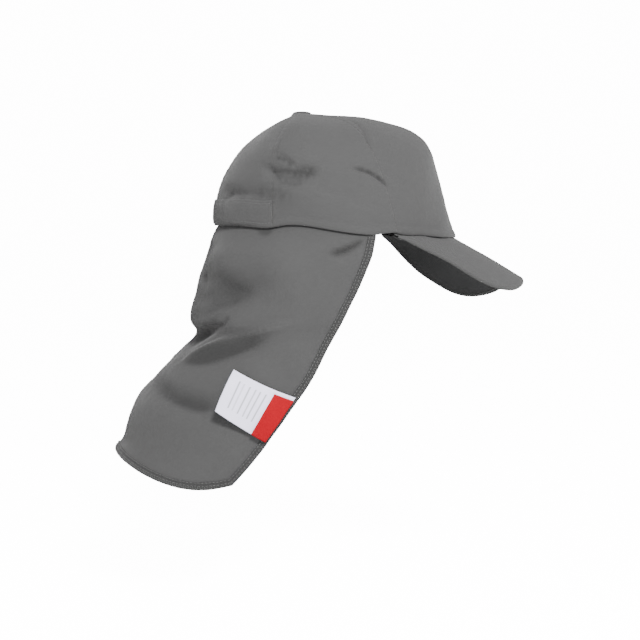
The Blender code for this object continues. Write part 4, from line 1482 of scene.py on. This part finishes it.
def label_points(length, width, lift, start=0.0):
    """Points over the flap for a label sewn in beside the hem."""
    label = chosen("label")
    root = (0.0, label.drop)
    down = unit(folded_flap(0.0, label.drop + STEP) - folded_flap(0.0, label.drop - STEP))
    away = unit(np.cross(down, normals(flap_form, *root)))
    run_way = away * math.cos(label.slant) + down * math.sin(label.slant)
    runs = np.linspace(0, length, max(8, round(length / RIBBON_GRAIN)))
    drops = np.linspace(start, width, round((width - start) / RIBBON_GRAIN))
    run, fall = np.meshgrid(runs, drops)
    pulled = run * (1 - LABEL_PULL * fall / label.width)
    sunk = fall * (1 - LABEL_SHRINK * run / label.length)
    move = run_way * (LABEL_SEAM + pulled)[..., None] + down * sunk[..., None]
    place = flap_step(*root, move)
    low_share = LABEL_CURL_SHARE + (1 - LABEL_CURL_SHARE) * fall / label.width
    curl = label.curl * (run / label.length) ** 2 * low_share
    curl = curl - LABEL_SAG * np.sin(run / label.length * math.pi) * (1 - fall / label.width)
    return flap_point(*place, -(lift + curl)), run, fall


def print_lines(run, fall):
    """Plain thin lines on the label, 1 on a line and 0 beside it."""
    lines = 0.5 + 0.5 * np.cos(run / PRINT_PITCH * math.tau)
    inside = (run > PRINT_RUNS[0]) & (run < PRINT_RUNS[1])
    inside &= (fall > PRINT_DROPS[0]) & (fall < PRINT_DROPS[1])
    return np.where(inside, smooth((lines - PRINT_START) / PRINT_RISE), 0.0)


def declare_flap():
    """Works out the width, length and area of the flat cloth the flap was cut from, and does nothing with
    them.
    """
    flat, area = cut_size(flap_points()[0])


class CAP_OT_labels(Operator):
    """Build the care label and the tab over its root"""

    bl_idname = "cap.labels"
    bl_label = "Labels"

    def execute(self, context):
        label, colours = context.scene.cap_label, context.scene.cap_cloth
        points, run, fall = label_points(label.length, label.width, LABEL_LIFT)
        masks = {"print": print_lines(run, fall)}
        piece = cloth("care_label_ribbon", points, LABEL_CLOTH, 1, masks)
        finish = finish_named("Label Ribbon", ribbon_material, colours.label, True)
        finish_piece(piece, finish, "care_label")
        lift = LABEL_LIFT + TAB_STANDS
        points = label_points(label.tab_length, label.width, lift, TAB_START)[0]
        piece = cloth("hem_tab_ribbon", points, TAB_CLOTH, 1)
        finish = finish_named("Tab Ribbon", ribbon_material, colours.tab, False)
        finish_piece(piece, finish, "hem_tab")
        declare_flap()
        return {"FINISHED"}


def aimed(name, data, place):
    """A lamp or camera that looks at the cap from its place."""
    made = bpy.data.objects.new(name, data)
    bpy.context.scene.collection.objects.link(made)
    x, y, z = np.array(CAMERA_AIM) - np.array(place)
    made.location = place
    made.rotation_euler = (math.atan2(math.hypot(x, y), -z), 0.0, math.atan2(-x, y))
    return made


def seen_glow(graph):
    """The stage's glow, for what the camera sees of it alone."""
    return graph.times(graph.node("LightPath").outputs["Is Camera Ray"], STAGE_GLOW)


class CAP_OT_stage(Operator):
    """Build the floor, the lights and the camera"""

    bl_idname = "cap.stage"
    bl_label = "Stage"

    def execute(self, context):
        deselect()
        bpy.ops.mesh.primitive_plane_add(size=STAGE_SIZE, location=(0, 0, STAGE_FLOOR))
        floor = bpy.context.object
        floor.name = "floor"
        finish, graph, shader = new_material("Stage Paper", 0.9)
        glow = {"Emission Color": WHITE, "Emission Strength": seen_glow(graph)}
        graph.feed(shader, {"Base Color": PAPER_WHITE, **glow})
        floor.data.materials.append(finish)
        world = bpy.data.worlds.new("Studio")
        context.scene.world = world
        world.use_nodes = True
        air = Graph(world.node_tree)
        strength = air.plus(seen_glow(air), WORLD_STRENGTH)
        air.feed(world.node_tree.nodes["Background"].inputs, {"Color": WHITE, "Strength": strength})
        for lamp in LAMPS:
            data = bpy.data.lights.new(lamp.name, "AREA")
            data.energy, data.shape, data.size = lamp.power, "DISK", lamp.size
            aimed(lamp.name, data, lamp.place)
        data = bpy.data.cameras.new("Camera")
        data.lens, data.sensor_width = CAMERA_LENS, CAMERA_SENSOR
        context.scene.camera = aimed("Camera", data, CAMERA_EYE)
        return {"FINISHED"}


class CAP_PT_panel(Panel):
    """Sizes, colours and pieces of the cap"""

    bl_idname = "CAP_PT_panel"
    bl_label = "Sun Flap Cap"
    bl_space_type = "VIEW_3D"
    bl_region_type = "UI"
    bl_category = "Cap"

    def draw(self, context):
        layout = self.layout
        for name, group in SETTINGS.items():
            box = layout.box()
            box.label(text=group.__doc__)
            for field in group.__annotations__:
                box.prop(getattr(context.scene, name), field)
        for operator in OPERATORS:
            layout.operator(operator.bl_idname)


SETTINGS = {
    "cap_crown": CrownSettings,
    "cap_peak": PeakSettings,
    "cap_flap": FlapSettings,
    "cap_label": LabelSettings,
    "cap_cloth": ClothSettings,
}
OPERATORS = (
    CAP_OT_crown,
    CAP_OT_button,
    CAP_OT_band,
    CAP_OT_peak,
    CAP_OT_flap,
    CAP_OT_hems,
    CAP_OT_labels,
    CAP_OT_stage,
)


def register():
    """Adds the classes and the scene's settings."""
    for group in (*SETTINGS.values(), *OPERATORS, CAP_PT_panel):
        bpy.utils.register_class(group)
    for name, group in SETTINGS.items():
        setattr(bpy.types.Scene, name, PointerProperty(type=group))


def unregister():
    """Takes the settings and the classes out again."""
    for name in SETTINGS:
        delattr(bpy.types.Scene, name)
    for group in reversed((*SETTINGS.values(), *OPERATORS, CAP_PT_panel)):
        bpy.utils.unregister_class(group)


def main():
    """Builds every piece and the stage."""
    register()
    bpy.ops.cap.crown()
    bpy.ops.cap.button()
    bpy.ops.cap.band()
    bpy.ops.cap.peak()
    bpy.ops.cap.flap()
    bpy.ops.cap.hems()
    bpy.ops.cap.labels()
    bpy.ops.cap.stage()


if __name__ == "__main__":
    main()
